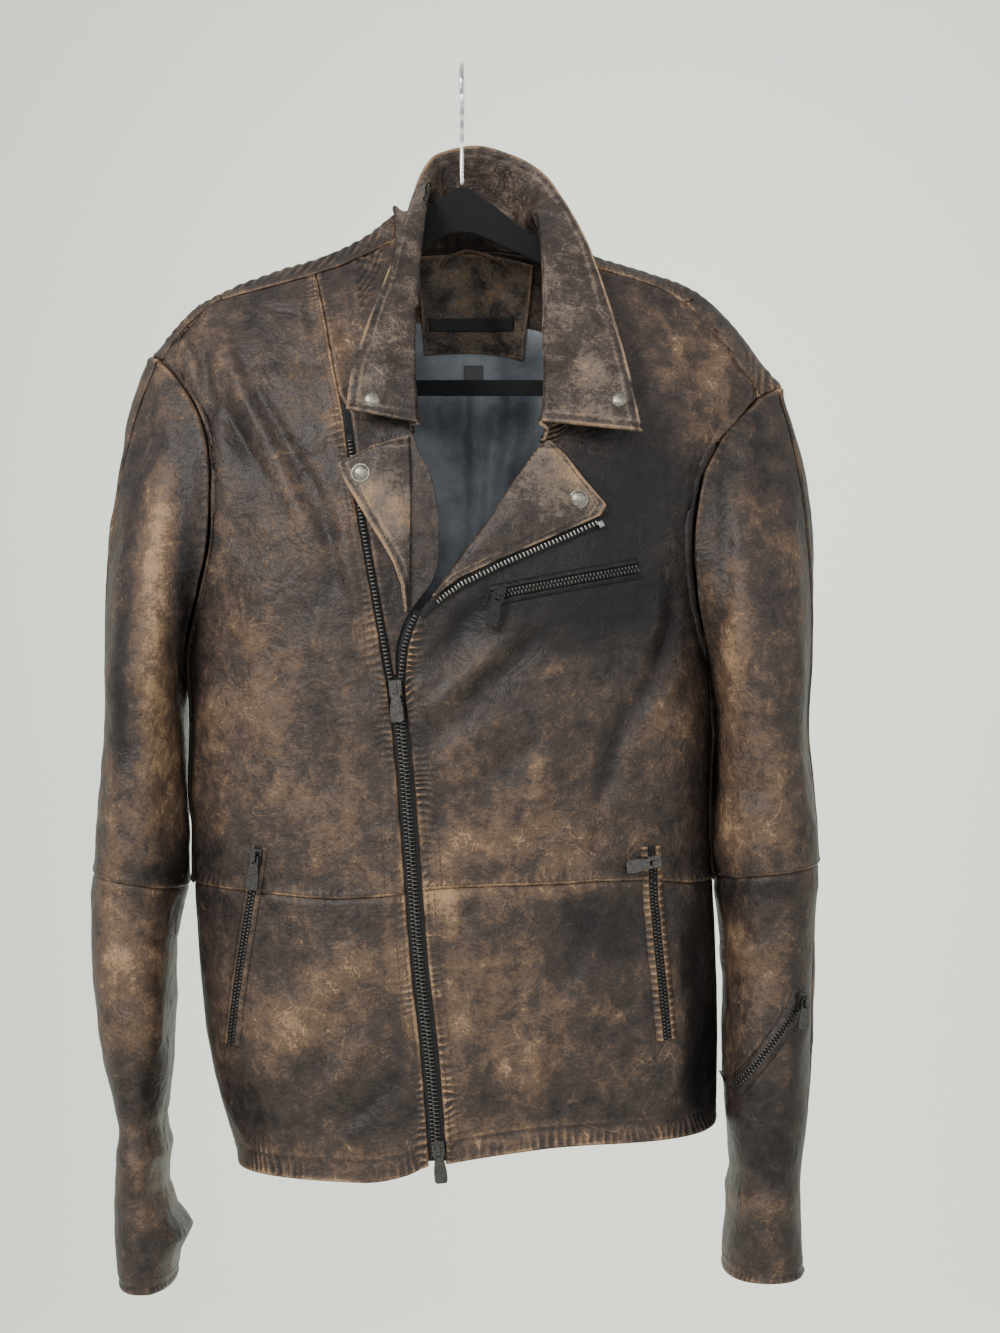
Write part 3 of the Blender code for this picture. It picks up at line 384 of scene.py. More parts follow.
def across(table):
    """Height of a level seam at any sideways place."""
    return lambda x: look(table, "x", x, "height")


print("underarm, mm:", ARMHOLE_RIGHT["height"][0], "right and", ARMHOLE_LEFT["height"][0],
      "left")

# %% [markdown]
# Seven panels make the body: on each side a front above the waist seam and one below it,
# the underlap strip beyond the zip, and the back in one piece above the seam and one below.

# %% Body panels

NECK = dict(x=[-38, 14, 60], height=[-125, -123, -133])
BACK_TOP = {key: YOKE_RIGHT[key] + NECK[key] + YOKE_LEFT[key] for key in NECK}
right_side = side_turn(-1, -1, ARMHOLE_RIGHT)
left_side = side_turn(1, -1, ARMHOLE_LEFT)
right_back = side_turn(-1, 1, ARMHOLE_RIGHT)
left_back = side_turn(1, 1, ARMHOLE_LEFT)
left_neck = dict(height=[-800, -140], x=[70, 70])
right_neck = dict(height=[-800, -130], x=[-48, -48])


def zip_shift(z):
    """Room for the zip between the right front and the underlap, fading in below the collar."""
    return np.where(z > -250, 0, np.minimum(1, (-250 - z) / 12)) * (ZIP_WIDE + SEAM_GAP)


def back(low, high, rows):
    """Back panel in three stretches, with a column of points at each end of the neck."""
    marks = left_back, seam_turn(left_neck, 1), seam_turn(right_neck, 1), right_back
    parts = [patch(a, b, low, high, cols, rows)
             for a, b, cols in zip(marks, marks[1:], (32, 24, 44))]
    return np.concatenate([parts[0], parts[1][:, 1:], parts[2][:, 1:]], 1)


waist, hem, right_yoke = across(WAIST), across(HEM), across(YOKE_RIGHT)
right_edge, left_edge = seam_turn(RIGHT_EDGE, -1), seam_turn(LEFT_EDGE, -1)
behind_zip = seam_turn(RIGHT_EDGE, -1, zip_shift)
UNDERLAP_FOOT = -446.0
PANELS = {
    "right_front_upper": patch(right_edge, right_side, waist, right_yoke, 84, 200),
    "right_front_inner": patch(seam_turn(RIGHT_INNER, -1), behind_zip, UNDERLAP_FOOT,
        right_yoke, 24, 120),
    "right_front_lower": patch(right_edge, right_side, hem, waist, 84, 100),
    "left_front_upper": patch(left_edge, left_side, waist, across(YOKE_LEFT), 112, 200),
    "left_front_lower": patch(left_edge, left_side, hem, waist, 112, 90),
    "back_upper": back(waist, across(BACK_TOP), 110), "back_lower": back(hem, waist, 44),}
for name, grid in PANELS.items():
    wide = np.linalg.norm(np.diff(grid, axis=1), axis=-1).sum(1).max()
    long = np.linalg.norm(np.diff(grid, axis=0), axis=-1).sum(0).max()
    print(f"{name}: {wide:.0f} by {long:.0f} mm, {grid.shape[1]} by {grid.shape[0]} points")

# %% [markdown]
# A quilted strip runs over each shoulder from the top of the front to the top of the back.
# It is sewn in between them, so it is drawn from the two seams it joins, and its middle
# follows the line where the hanger holds the jacket up.

# %% Shoulder bands
BAND_ROWS = 16
BAND_TIP = 14


def run_of(line):
    """Distance along a line of points."""
    return np.concatenate([[0], np.cumsum(np.linalg.norm(np.diff(line, axis=0), axis=1))])


def pick(line, at):
    """Points of a line at fractional places in its list."""
    i = np.clip(np.floor(at).astype(int), 0, len(line) - 2)
    f = (np.asarray(at) - i)[:, None]
    return line[i] * (1 - f) + line[i + 1] * f


def shoulder_band(front, back_edge, tip_height):
    """Grid over the shoulder from one seam to the other, closed by a rounded tip at the arm."""
    w = np.linspace(-1, 1, BAND_ROWS + 1)
    share = (w + 1)[None] / 2
    side = "left" if front[-1, 0] > 0 else "right"
    x = front[:, None, 0] * (1 - share) + back_edge[:, None, 0] * share

    def inside(z):
        return look(BODY, "height", z, side) > abs(x.ravel())

    ridge = first_above(inside, -240.0 + 0 * x.ravel(), -98.0).reshape(x.shape)
    low = np.where(w < 0, front[:, None, 2], back_edge[:, None, 2])
    z = ridge - (ridge - low) * abs(w) ** 1.7
    grid = on_body(x, z, np.where(w < 0, -1, 1) + 0 * x)
    grid[:, w == 0, 1] = 0
    a, b = front[-1], back_edge[-1]
    y = a[1] * (1 - share[0]) + b[1] * share[0]
    z = a[2] * (1 - share[0]) + b[2] * share[0] + (tip_height - a[2]) * (1 - w * w)
    reach, depth, square = ring(z, a[0], np.where(y <= 0, -1, 1))
    out = np.sign(a[0]) * reach * (1 - np.minimum(1, abs(y) / depth) ** square) ** (1 / square)
    tip = np.stack([out, y, z], -1)
    grid[-1] = tip
    to_back = share[0][:, None]
    to_front = 1 - to_back
    for k in range(1, BAND_TIP):
        f = (1 - k / BAND_TIP) ** 2 * 0.55
        moved = (tip + front[-1 - k] * to_front + back_edge[-1 - k] * to_back
                 - a * to_front - b * to_back)
        grid[-1 - k] = grid[-1 - k] * (1 - f) + moved * f
    grid[:, 0], grid[:, -1] = front, back_edge
    return grid


# The neck begins and ends at these columns of the back.
NECK_LEFT, NECK_RIGHT = 32, 56
t = np.linspace(0, 11, 111)
strip_top, front_top = PANELS["right_front_inner"][-1], PANELS["right_front_upper"][-1]
right_top = np.where((t < 4)[:, None], pick(strip_top, np.minimum(t, 4) * 6),
                     pick(front_top, np.maximum(t - 4, 0) * 12))
back_top = PANELS["back_upper"][-1]
PANELS["right_shoulder_band"] = shoulder_band(
    right_top, pick(back_top[NECK_RIGHT:], t * 4), -213)
t = np.linspace(0, 8, 97)
left_top, left_back_top = PANELS["left_front_upper"][-1], back_top[:NECK_LEFT + 1][::-1]
PANELS["left_shoulder_band"] = shoulder_band(
    pick(left_top, t * 14), pick(left_back_top, t * 4), -235)
for who in ("right", "left"):
    band = PANELS[who + "_shoulder_band"]
    print(who, "band:", round(run_of(band[:, 0])[-1]), "mm long,", round(run_of(band[0])[-1]),
          "mm wide at the neck")

# %% [markdown]
# The sleeves hang from the armhole: a rounded cap falls to the first level ring, and from
# there rings follow the arm down, bent a little forward at the elbow.  Each sleeve is cut
# in a front and an outer half, and both are cut across at the elbow.


# %% Sleeves
CAP = 6
AROUND = 196
SLEEVE_SQUARE = 2.3
SLEEVE_STEP = 3.0


def even(line, count):
    """The same line in equal steps."""
    runs = run_of(line)
    at = np.linspace(0, runs[-1], count + 1)
    return np.stack([np.interp(at, runs, line[:, k]) for k in range(3)], -1)


def smooth_rows(grid, knots, at):
    """Rows of a grid at places between its own, on one smooth curve."""
    slope = np.gradient(grid, knots, axis=0)
    i = np.clip(np.searchsorted(knots, at) - 1, 0, len(knots) - 2)
    span = knots[i + 1] - knots[i]
    f = ((at - knots[i]) / span)[:, None, None]
    return between_rows(f, span[:, None, None], grid[i], grid[i + 1], slope[i], slope[i + 1])


def face_of(grid):
    """Direction in which each point of a grid faces, if its columns run to the right."""
    return np.cross(np.gradient(grid, axis=1), np.gradient(grid, axis=0))


def facing_out(grid, middle):
    """Normals of a grid, turned away from its middle line."""
    normals = unit(face_of(grid))
    return normals if ((grid - middle) * normals).sum() >= 0 else -normals


def sleeve(side, loop, table):
    """Rings of a sleeve from armhole to cuff, its elbow row and its middle line."""
    turns = np.linspace(0, 2 * pi, len(loop))
    c, s = np.cos(turns), np.sin(turns)
    wide, thick = (np.sign(a) * abs(a) ** (2 / SLEEVE_SQUARE) for a in (c, s))
    rings = [np.stack([middle - side * half * wide, -deep * thick - forward,
                       height + tilt * (1 - c) / 2], -1)
             for height, middle, half, deep, forward, tilt in zip(*table.values())]
    first = unit(rings[0] - loop)
    out = body_normal(loop)
    facing = (first * out).sum(-1)[:, None]
    tucked_in = first * (0.35 + 2.3 * np.minimum(1, -facing))
    grid = [loop + np.where(facing > -0.25, out * 2.2 + first * 0.3, tucked_in)]
    for k in range(1, CAP):
        f = k / CAP
        away = np.maximum(0, -c) ** 1.5
        bulge = np.stack([side * 7 * away, -5 * s * (1 - away), 3 * away], -1) * 4 * f * (1 - f)
        share = np.array([1 - (1 - f) ** 1.7, 1 - (1 - f) ** 1.7, f ** 1.2])
        grid.append(loop + (rings[0] - loop) * share + bulge)
    grid = np.stack(grid + rings)
    mean = grid.mean(1)
    knots = run_of(mean)
    elbow = knots[CAP + 3]
    upper = np.linspace(0, elbow, int(elbow / SLEEVE_STEP) + 1)
    lower = np.linspace(elbow, knots[-1], int((knots[-1] - elbow) / SLEEVE_STEP) + 1)
    whole = smooth_rows(grid, knots, np.concatenate([upper, lower[1:]]))
    return whole, len(upper) - 1, whole.mean(1, keepdims=True)


# Rows of the front and back panels where the armhole starts, and the back row whose
# point the sleeve's rear seam meets.
FRONT_UNDERARM, BACK_UNDERARM, REAR_SEAM = 84, 46, 64
SLEEVES = {}
for who, side, table, corner in (
        ("right", -1, SLEEVE_RIGHT, PANELS["right_front_upper"][-1, -1]),
        ("left", 1, SLEEVE_LEFT, PANELS["left_shoulder_band"][-1, 3])):
    rear = PANELS["back_upper"][:, -1 if side < 0 else 0]
    loop = np.concatenate([
        PANELS[who + "_front_upper"][FRONT_UNDERARM:, -1],
        PANELS[who + "_shoulder_band"][-1, 1:-1], rear[BACK_UNDERARM:][::-1]])
    whole, elbow, middle = sleeve(side, even(loop, AROUND), table)
    fore, aft = (int(np.argmin(np.linalg.norm(whole[0] - spot, axis=1)))
                 for spot in (corner, rear[REAR_SEAM]))
    columns = dict(front=[c % AROUND for c in range(aft, AROUND + fore + 1)],
                   outer=list(range(fore, aft + 1)))
    SLEEVES[who] = dict(grid=whole, elbow=elbow, normals=facing_out(whole, middle),
                        columns=columns)
    print(f"{who} sleeve: {len(whole)} rings, elbow at {elbow}, seams at {fore} and {aft}")

# %% [markdown]
# The collar stands on the neck seam, rolls over and falls back to its free edge.  It is
# cut in one and turned at the roll, so its grid runs along the neck and then across: neck
# seam, roll, free edge.  Where it would sink into a front it is moved out, little by little.

# %% Collar
COLLAR_ALONG, COLLAR_ACROSS = 260, 44
COLLAR_CLEAR = 3.9
# Rows of the underlap and of the left front where the neck seam starts.
RIGHT_NECK, LEFT_NECK = 64, 137


def clear_of_body(p, room):
    """Places moved out until they stand clear of the body form."""
    for _ in range(4):
        low = p[..., 2] <= -100
        n = body_normal(p)
        square = ring(p[..., 2], p[..., 0], p[..., 1])[2]
        here = level(p) ** (1 / square)
        rise = (level(p + n) ** (1 / square) - level(p - n) ** (1 / square)) / 2
        off = (here - 1) / np.maximum(rise, 0.001)
        p = np.where((low & (off < room))[..., None], p + n * (room - off)[..., None], p)
    return p


neck = [PANELS["right_front_inner"][RIGHT_NECK:, 0], PANELS["right_shoulder_band"][0, 1:-1],
        back_top[NECK_LEFT:NECK_RIGHT + 1][::-1], PANELS["left_shoulder_band"][0, 1:-1][::-1],
        PANELS["left_front_upper"][LEFT_NECK:, 0][::-1]]
neck = even(np.concatenate(neck), COLLAR_ALONG)
share = run_of(neck) / run_of(neck)[-1]
roll, free = (np.stack([look(COLLAR, "share", share, line + a) for a in "xyz"], -1)
              for line in ("roll_", "free_"))
lines = [neck + body_normal(neck) * 2.6 + unit(roll - neck) * 0.8, neck * 0.5 + roll * 0.5,
         roll]
for fallen in (0.33, 0.67, 1.0):
    line = roll * (1 - fallen) + free * fallen
    outside = (line[:, 0] > 64) | (line[:, 0] < -38)
    shift = np.where(outside[:, None], clear_of_body(line, COLLAR_CLEAR) - line, 0)
    for _ in range(10):
        shift[1:-1] = (shift[:-2] + 2 * shift[1:-1] + shift[2:]) / 4
    lines.append(line + shift)
knots = run_of(np.stack(lines).mean(1))
COLLAR_GRID = smooth_rows(np.stack(lines), knots, np.linspace(0, knots[-1], COLLAR_ACROSS + 1))
print("collar", COLLAR_GRID.shape[:2], "points; neck seam, mm:", round(run_of(neck)[-1]))

# %% [markdown]
# The lapels are the tops of the fronts, folded back and snapped down.  Each is drawn by
# its fold and its free edge, and it stands a few millimetres off the front under it.

# %% Lapels
RIGHT_LAPEL = dict(
    root=[(-36, -279), (-35.2, -289), (-34.6, -302), (-34.2, -318), (-34.2, -334),
        (-34.3, -350), (-34.6, -365), (-35, -382), (-35.3, -402)],
    edge=[(-60, -287), (-85.5, -299), (-80, -311), (-70, -328), (-61, -343), (-52.5, -356.5),
        (-46, -368), (-40.5, -383), (-38, -402)])
LEFT_LAPEL = dict(
    root=[(60, -283), (54, -289.5), (48.6, -297), (41, -307), (34.5, -317), (25.5, -331),
        (14, -347.5), (3.5, -360.5), (-9, -378), (-19.5, -394)],
    edge=[(64, -284), (74, -294), (86, -309.5), (101.5, -327.5), (97.5, -335), (79, -343.5),
        (52, -355.5), (27, -366), (0, -378.5), (-16, -390.5)])


def rounded(points, radius, count):
    """Line through points with its corners eased, in even steps."""
    points = np.array(points, float)
    out = [points[:1]]
    for a, b, c in zip(points, points[1:], points[2:]):
        cut = min(radius, np.linalg.norm(b - a) / 2.2, np.linalg.norm(c - b) / 2.2)
        p = b + unit(a - b) * cut
        q = b + unit(c - b) * cut
        w = np.linspace(0, 1, 7)[:, None]
        out.append(p * (1 - w) ** 2 + 2 * b * w * (1 - w) + q * w ** 2)
    out.append(points[-1:])
    line = np.concatenate(out)
    runs = run_of(line)
    at = np.linspace(0, runs[-1], count + 1)
    return np.stack([np.interp(at, runs, line[:, k]) for k in range(line.shape[1])], -1)


def matched(points, knots_of, count):
    """Line through points, kept in step with another line's runs."""
    points = np.array(points, float)
    at = np.interp(np.linspace(0, 1, count + 1), knots_of, np.arange(len(points)))
    return pick(points, np.minimum(at, len(points) - 1.0001))


def lapel(table, lifts, rows, cols):
    """Leaf from its fold to its free edge, standing a little off the front."""
    edge = np.array(table["edge"], float)
    runs = run_of(edge) / run_of(edge)[-1]
    root = matched(table["root"], runs, rows)
    free = matched(edge, runs, rows)
    w = np.linspace(0, 1, cols + 1)[None, :, None]
    spots = root[:, None] * (1 - w) + free[:, None] * w
    lift = np.interp(np.linspace(0, 1, cols + 1), np.linspace(0, 1, len(lifts)), lifts)
    return on_body(spots[..., 0], spots[..., 1], -1, lift + 0 * spots[..., 0])


LAPELS = dict(right_lapel=lapel(RIGHT_LAPEL, [1.9, 4.2, 4.6, 4.2, 3.8], 90, 34),
              left_lapel=lapel(LEFT_LAPEL, [1.9, 4.4, 4.8, 4.4, 4.0, 3.9], 110, 40))
for name, grid in LAPELS.items():
    print(name, "fold and free edge, mm:", round(run_of(grid[:, 0])[-1]),
          round(run_of(grid[:, -1])[-1]))

# %% [markdown]
# Hide never lies flat once worn.  A random field that is the same on every run lends each
# panel its slow waves; listed creases do the rest.  A crease is a line with a width
# and a height: above nought it is a soft ridge, below nought a trough, steeper on one side.


# %% Waves and creases
LATTICE = np.random.default_rng(11).uniform(-1, 1, (32, 32, 32))


def wander(p, size, octaves=1, seed=0):
    """Smooth random field, about -1 to 1, over places in millimetres."""
    total = np.zeros(p.shape[:-1])
    for k in range(octaves):
        q = p / size * 2 ** k + 3.7 * seed + 9.1 * k + 100
        cell = np.floor(q).astype(int)
        f = q - cell
        f = f * f * f * (f * (6 * f - 15) + 10)
        value = 0
        for corner in np.ndindex(2, 2, 2):
            weight = np.where(corner, f, 1 - f).prod(-1)
            value = value + weight * LATTICE[
                tuple(np.moveaxis((cell + corner) % len(LATTICE), -1, 0))]
        total += value / 2 ** k
    return total * 1.6


def near_line(spots, line):
    """Distance of places from a line, how far along it they lie (0 to 1), and which side."""
    line = np.array(line, float)
    runs = run_of(line)
    best = np.full(spots.shape[:-1], 1e9)
    along = np.zeros(spots.shape[:-1])
    hand = np.zeros(spots.shape[:-1])
    for a, b, run in zip(line, line[1:], runs):
        way = b - a
        size = np.linalg.norm(way)
        f = np.clip(((spots - a) @ way) / size ** 2, 0, 1)
        off = spots - (a + f[..., None] * way)
        d = np.linalg.norm(off, axis=-1)
        closer = d < best
        best = np.where(closer, d, best)
        along = np.where(closer, (run + f * size) / runs[-1], along)
        hand = np.where(closer, np.sign(way[0] * off[..., 1] - way[1] * off[..., 0]), hand)
    return best, along, hand


def pressed(spots, table):
    """Height of all the creases of a table at places on a panel."""
    total = np.zeros(spots.shape[:-1])
    for width, height, *line in table:
        d, along, hand = near_line(spots, line)
        w = width * np.where(hand > 0, 0.8, 1.25)
        fade = np.sin(pi * np.clip(along, 0.04, 0.96)) ** 0.6
        total += height * np.exp(-(d / w) ** 2) * fade
    return total


def blotched(spots, table):
    """Strength of worn or stained patches at places on a panel, 0 to 1."""
    total = np.zeros(spots.shape[:-1])
    for x, z, rx, rz, lean, strength in table:
        c, s = cos(radians(lean)), sin(radians(lean))
        u = ((spots[..., 0] - x) * c + (spots[..., 1] - z) * s) / rx
        v = ((spots[..., 1] - z) * c - (spots[..., 0] - x) * s) / rz
        total += strength * np.exp(-(u * u + v * v))
    return total


print("waves on the collar, lowest and highest:", wander(COLLAR_GRID, 95).min().round(2),
      wander(COLLAR_GRID, 95).max().round(2))

# %% [markdown]
# The creases and the wear, drawn for this jacket, all on the flat view from the
# front.  A crease lists its width and height and then the points of its line.

# %% Creases
CREASES = {}
CREASES["front"] = (
    (7, 4.2, (-180, -184), (-171, -204), (-162, -228), (-152, -249), (-142, -267), (-133, -283),
        (-117, -323), (-103, -336)),
    (7, -3.6, (-152, -226), (-141, -253), (-125, -279), (-110, -303), (-96, -327), (-84, -348)),
    (5, -4.0, (-172, -252), (-161, -270), (-147, -293), (-136, -310)),
    (6, 2.6, (-198, -196), (-193, -220), (-189, -243)),
    (6, -3.4, (-191, -201), (-184, -228), (-180, -251), (-183, -277)),
    (9, 3.0, (-176, -259), (-168, -285), (-166, -315), (-167, -351)),
    (7, -3.0, (-193, -277), (-196, -320), (-198, -378), (-198, -421)),
    (8, 3.0, (-117, -321), (-110, -334), (-100, -352), (-95, -367)),
    (7, -3.4, (-103, -327), (-93, -349), (-88, -370), (-84, -393)),
    (5, 2.4, (-84, -334), (-77, -361), (-74, -388), (-68, -409)),
    (4, 1.6, (-97, -185), (-90, -205), (-82, -228)),
    (5, 1.4, (-117, -167), (-113, -199), (-101, -230)),
    (10, 2.0, (-148, -393), (-139, -449), (-126, -505), (-125, -561)),
    (9, -2.0, (-112, -421), (-99, -477), (-87, -533)),
    (8, 2.2, (-80, -463), (-75, -512), (-76, -567)),
    (9, 5.0, (-29, -475), (-14, -466), (1, -451), (18, -434), (31, -423), (43, -415)),
    (8, -4.2, (-20, -437), (-5, -421), (7, -405), (20, -394)),
    (9, -4.6, (-14, -477), (5, -464), (22, -449), (39, -432), (52, -421), (65, -413)),
    (12, 3.4, (-16, -523), (-12, -509), (1, -493), (18, -483), (38, -474)),
    (9, -2.6, (7, -525), (28, -510), (56, -491)),
    (8, -5.0, (150, -393), (145, -425), (136, -445), (126, -467), (112, -488), (106, -509),
        (100, -533)),
    (8, 3.2, (141, -382), (139, -404), (133, -430), (133, -445), (119, -463)),
    (9, 2.6, (163, -428), (152, -451), (141, -460), (128, -479), (118, -500)),
    (8, -3.0, (108, -507), (99, -537), (95, -567)),
    (6, 2.2, (117, -530), (103, -539), (91, -552), (73, -567)),
    (10, 2.4, (59, -456), (70, -477), (64, -505), (49, -546)),
    (5, 3.0, (192, -201), (191, -235), (188, -265)),
    (8, 3.0, (166, -191), (154, -214), (144, -238)),
    (8, -2.4, (177, -196), (171, -235), (173, -278)),
    (10, -2.0, (129, -175), (122, -214), (127, -251)),
    (9, 2.2, (100, -176), (112, -207), (120, -237)),
    (11, -2.6, (84, -407), (105, -428), (116, -456)),
    (8, 3.8, (-53, -692), (-69, -708), (-85, -727), (-104, -746), (-120, -760)),
    (9, -3.6, (-91, -700), (-99, -714), (-112, -728), (-127, -739)),
    (8, -3.6, (-44, -726), (-59, -741), (-75, -754), (-91, -764)),
    (12, 2.4, (-76, -623), (-87, -655), (-112, -687), (-134, -709)),
    (10, -2.4, (-55, -637), (-48, -671), (-43, -713)),
    (8, -3.0, (-157, -726), (-149, -754), (-141, -782)),
    (10, -2.6, (98, -606), (84, -637), (73, -672), (71, -714), (63, -755)),
    (9, 2.4, (91, -658), (70, -679), (56, -713), (49, -748)),
    (9, -5.0, (180, -686), (176, -729), (171, -771)),
    (8, -3.0, (174, -611), (171, -649), (174, -685)),
    (7, 2.4, (160, -676), (155, -718), (147, -753)),
    (8, 2.0, (7, -623), (13, -664), (7, -706), (14, -748)),
    (8, -1.8, (42, -623), (45, -657), (35, -699)))
CREASES["arm"] = (
    (9, 2.2, (-211, -277), (-212, -334), (-215, -406), (-218, -492), (-221, -572)),
    (7, -2.2, (-198, -306), (-196, -392), (-195, -478), (-196, -572)),
    (6, -1.6, (-231, -298), (-233, -363), (-236, -435), (-239, -507)),
    (5, 1.4, (-224, -392), (-213, -389), (-202, -395)),
    (5, -1.4, (-225, -408), (-211, -403), (-199, -410)),
    (5, -1.8, (-257, -629), (-241, -635), (-224, -633), (-208, -640)),
    (5, 1.6, (-255, -642), (-238, -648), (-220, -645), (-208, -651)),
    (5, -1.5, (-252, -679), (-234, -672), (-213, -669)),
    (5, 1.6, (-247, -695), (-231, -687), (-212, -684)),
    (7, -3.0, (-247, -764), (-231, -771), (-211, -767)),
    (6, 2.4, (-245, -787), (-229, -793), (-211, -787)),
    (5, -1.6, (-244, -816), (-227, -820), (-208, -813)),
    (6, -1.8, (-224, -708), (-220, -744), (-224, -780)),
    (10, 2.4, (206, -284), (202, -363), (193, -464), (189, -572)),
    (9, -1.8, (221, -270), (224, -363), (232, -464), (238, -564)),
    (8, 1.8, (234, -334), (239, -421), (245, -521)),
    (6, -1.6, (188, -521), (204, -528), (226, -524)),
    (6, 1.6, (188, -536), (206, -544), (231, -538)),
    (6, -1.8, (186, -306), (188, -363), (185, -435)),
    (5, 1.5, (188, -651), (208, -641), (236, -633)),
    (5, -1.6, (188, -669), (209, -658), (238, -649)),
    (5, -1.4, (192, -722), (204, -712), (222, -694)),
    (6, -1.8, (188, -807), (215, -801), (244, -806)),
    (6, 1.8, (188, -823), (215, -819), (244, -823)),
    (6, -1.6, (189, -841), (215, -836), (242, -839)),
    (6, 1.6, (197, -758), (215, -769), (240, -764)),
    (7, 2.0, (222, -701), (236, -722), (241, -751)),
    (6, 1.8, (-218, -234), (-211, -255), (-205, -284)),
    (6, -1.8, (-225, -248), (-222, -277), (-224, -313)),
    (6, 2, (212, -255), (206, -284), (203, -320)),
    (6, -1.6, (222, -255), (219, -298), (223, -334)))
CREASES["back"] = (
    (14, 3.6, (-150, -240), (-122, -330), (-62, -400)),
    (12, -3.2, (-118, -250), (-85, -330), (-28, -392)),
    (13, 3.2, (142, -250), (112, -340), (60, -412)),
    (12, -3.2, (112, -262), (80, -340), (30, -402)),
    (15, 3.0, (-120, -480), (-20, -522), (92, -500)),
    (13, -3.0, (-102, -520), (0, -556), (112, -530)),
    (11, 2.8, (-62, -640), (-12, -700), (18, -760)),
    (11, -2.8, (60, -630), (40, -700), (62, -770)), (10, 2.6, (122, -650), (112, -740)),
    (10, -2.4, (-130, -640), (-118, -730)), (8, 2.2, (-20, -180), (0, -230), (4, -300)),
    (9, -2.0, (40, -190), (46, -260)))
CREASES["flaps"] = (
    (5, 1.8, (62, -288), (84, -300), (98, -318)),
    (5, -1.6, (56, -302), (76, -314), (88, -332)),
    (6, 1.8, (-62, -312), (-46, -326), (-34, -346)),
    (5, -1.6, (-52, -306), (-36, -318), (-24, -338)),
    (6, 1.6, (66, -186), (82, -214), (92, -244)),
    (6, -1.6, (78, -190), (94, -220), (104, -252)),
    (5, 1.4, (-58, -190), (-64, -224), (-70, -254)),
    (5, -1.4, (-44, -196), (-50, -230), (-56, -262)),
    (5, 1.3, (60, -256), (84, -262), (106, -258)),
    (5, 1.2, (-76, -262), (-60, -268), (-44, -264)))
for part, table in CREASES.items():
    print(part, "creases:", len(table))

# %% [markdown]
# Rubbing shows on the high places: shoulders, upper arms, elbows, the fold of each lapel
# and the hips; on the lapels the patches also stand for painted sheen.  A patch lists its
# middle, its reach each way, its lean and its strength.

# %% Rubbed patches
WORN = {}
WORN["front"] = (
    (-88, -249, 10, 28, -8, 0.6), (-82, -208, 8, 18, 0, 0.4), (-102, -199, 7, 21, 0, 0.3),
    (-174, -197, 14, 10, 0, 0.35), (-161, -407, 29, 21, 0, 0.38), (-174, -364, 15, 42, 0, 0.3),
    (-65, -421, 8, 11, 0, 0.5), (-119, -505, 42, 49, 0, 0.26), (-96, -547, 21, 28, 0, 0.4),
    (-143, -463, 28, 28, 0, 0.25), (-62, -589, 15, 10, 0, 0.6), (-71, -505, 10, 42, 0, 0.25),
    (-112, -309, 14, 28, 30, 0.18), (-133, -337, 21, 28, 0, 0.22), (-181, -167, 21, 10, 0, 0.3),
    (-119, -680, 38, 38, -20, 0.28), (-76, -651, 24, 38, 0, 0.28), (-58, -637, 14, 21, 0, 0.3),
    (-112, -704, 21, 18, -20, 0.35), (-45, -637, 8, 35, 0, 0.5), (-127, -781, 42, 11, 0, 0.42),
    (-63, -784, 28, 8, 0, 0.3), (-167, -648, 10, 42, 0, 0.3), (-35, -671, 5, 77, 0, 0.45),
    (7, -428, 24, 10, -35, 0.22), (67, -442, 22, 4, 14, 0.6), (29, -542, 11, 18, 0, 0.5),
    (91, -519, 13, 13, 0, 0.42), (126, -554, 13, 13, 0, 0.35), (14, -567, 28, 17, 0, 0.36),
    (-7, -553, 7, 42, 0, 0.35), (54, -525, 6, 28, 0, 0.28), (98, -463, 42, 28, -20, 0.16),
    (141, -477, 21, 28, 0, 0.2), (163, -456, 15, 21, 0, 0.25), (70, -560, 28, 14, 0, 0.3),
    (156, -570, 14, 14, 0, 0.2), (-18, -602, 13, 15, 0, 0.75), (7, -598, 42, 6, 0, 0.5),
    (70, -597, 42, 4, 0, 0.35), (21, -643, 35, 24, 0, 0.34), (28, -678, 31, 28, 0, 0.42),
    (42, -713, 28, 24, -30, 0.45), (31, -717, 5, 4, 30, 0.8), (115, -683, 9, 3, 25, 0.8),
    (98, -672, 20, 15, 0, 0.35), (70, -693, 17, 42, -25, 0.3), (25, -645, 17, 3, 6, 0.5),
    (80, -735, 21, 17, 0, 0.3), (105, -715, 28, 21, 0, 0.22), (49, -762, 56, 13, 0, 0.3),
    (126, -663, 6, 35, 0, 0.5), (152, -668, 5, 28, 0, 0.5), (-3, -678, 8, 77, 0, 0.4),
    (98, -767, 63, 6, 0, 0.4), (14, -755, 35, 21, 0, 0.25), (182, -223, 7, 35, -5, 0.5),
    (157, -213, 10, 28, -20, 0.28), (115, -175, 18, 11, 0, 0.25), (71, -200, 14, 28, 0, 0.25),
    (170, -264, 11, 28, 0, 0.2))
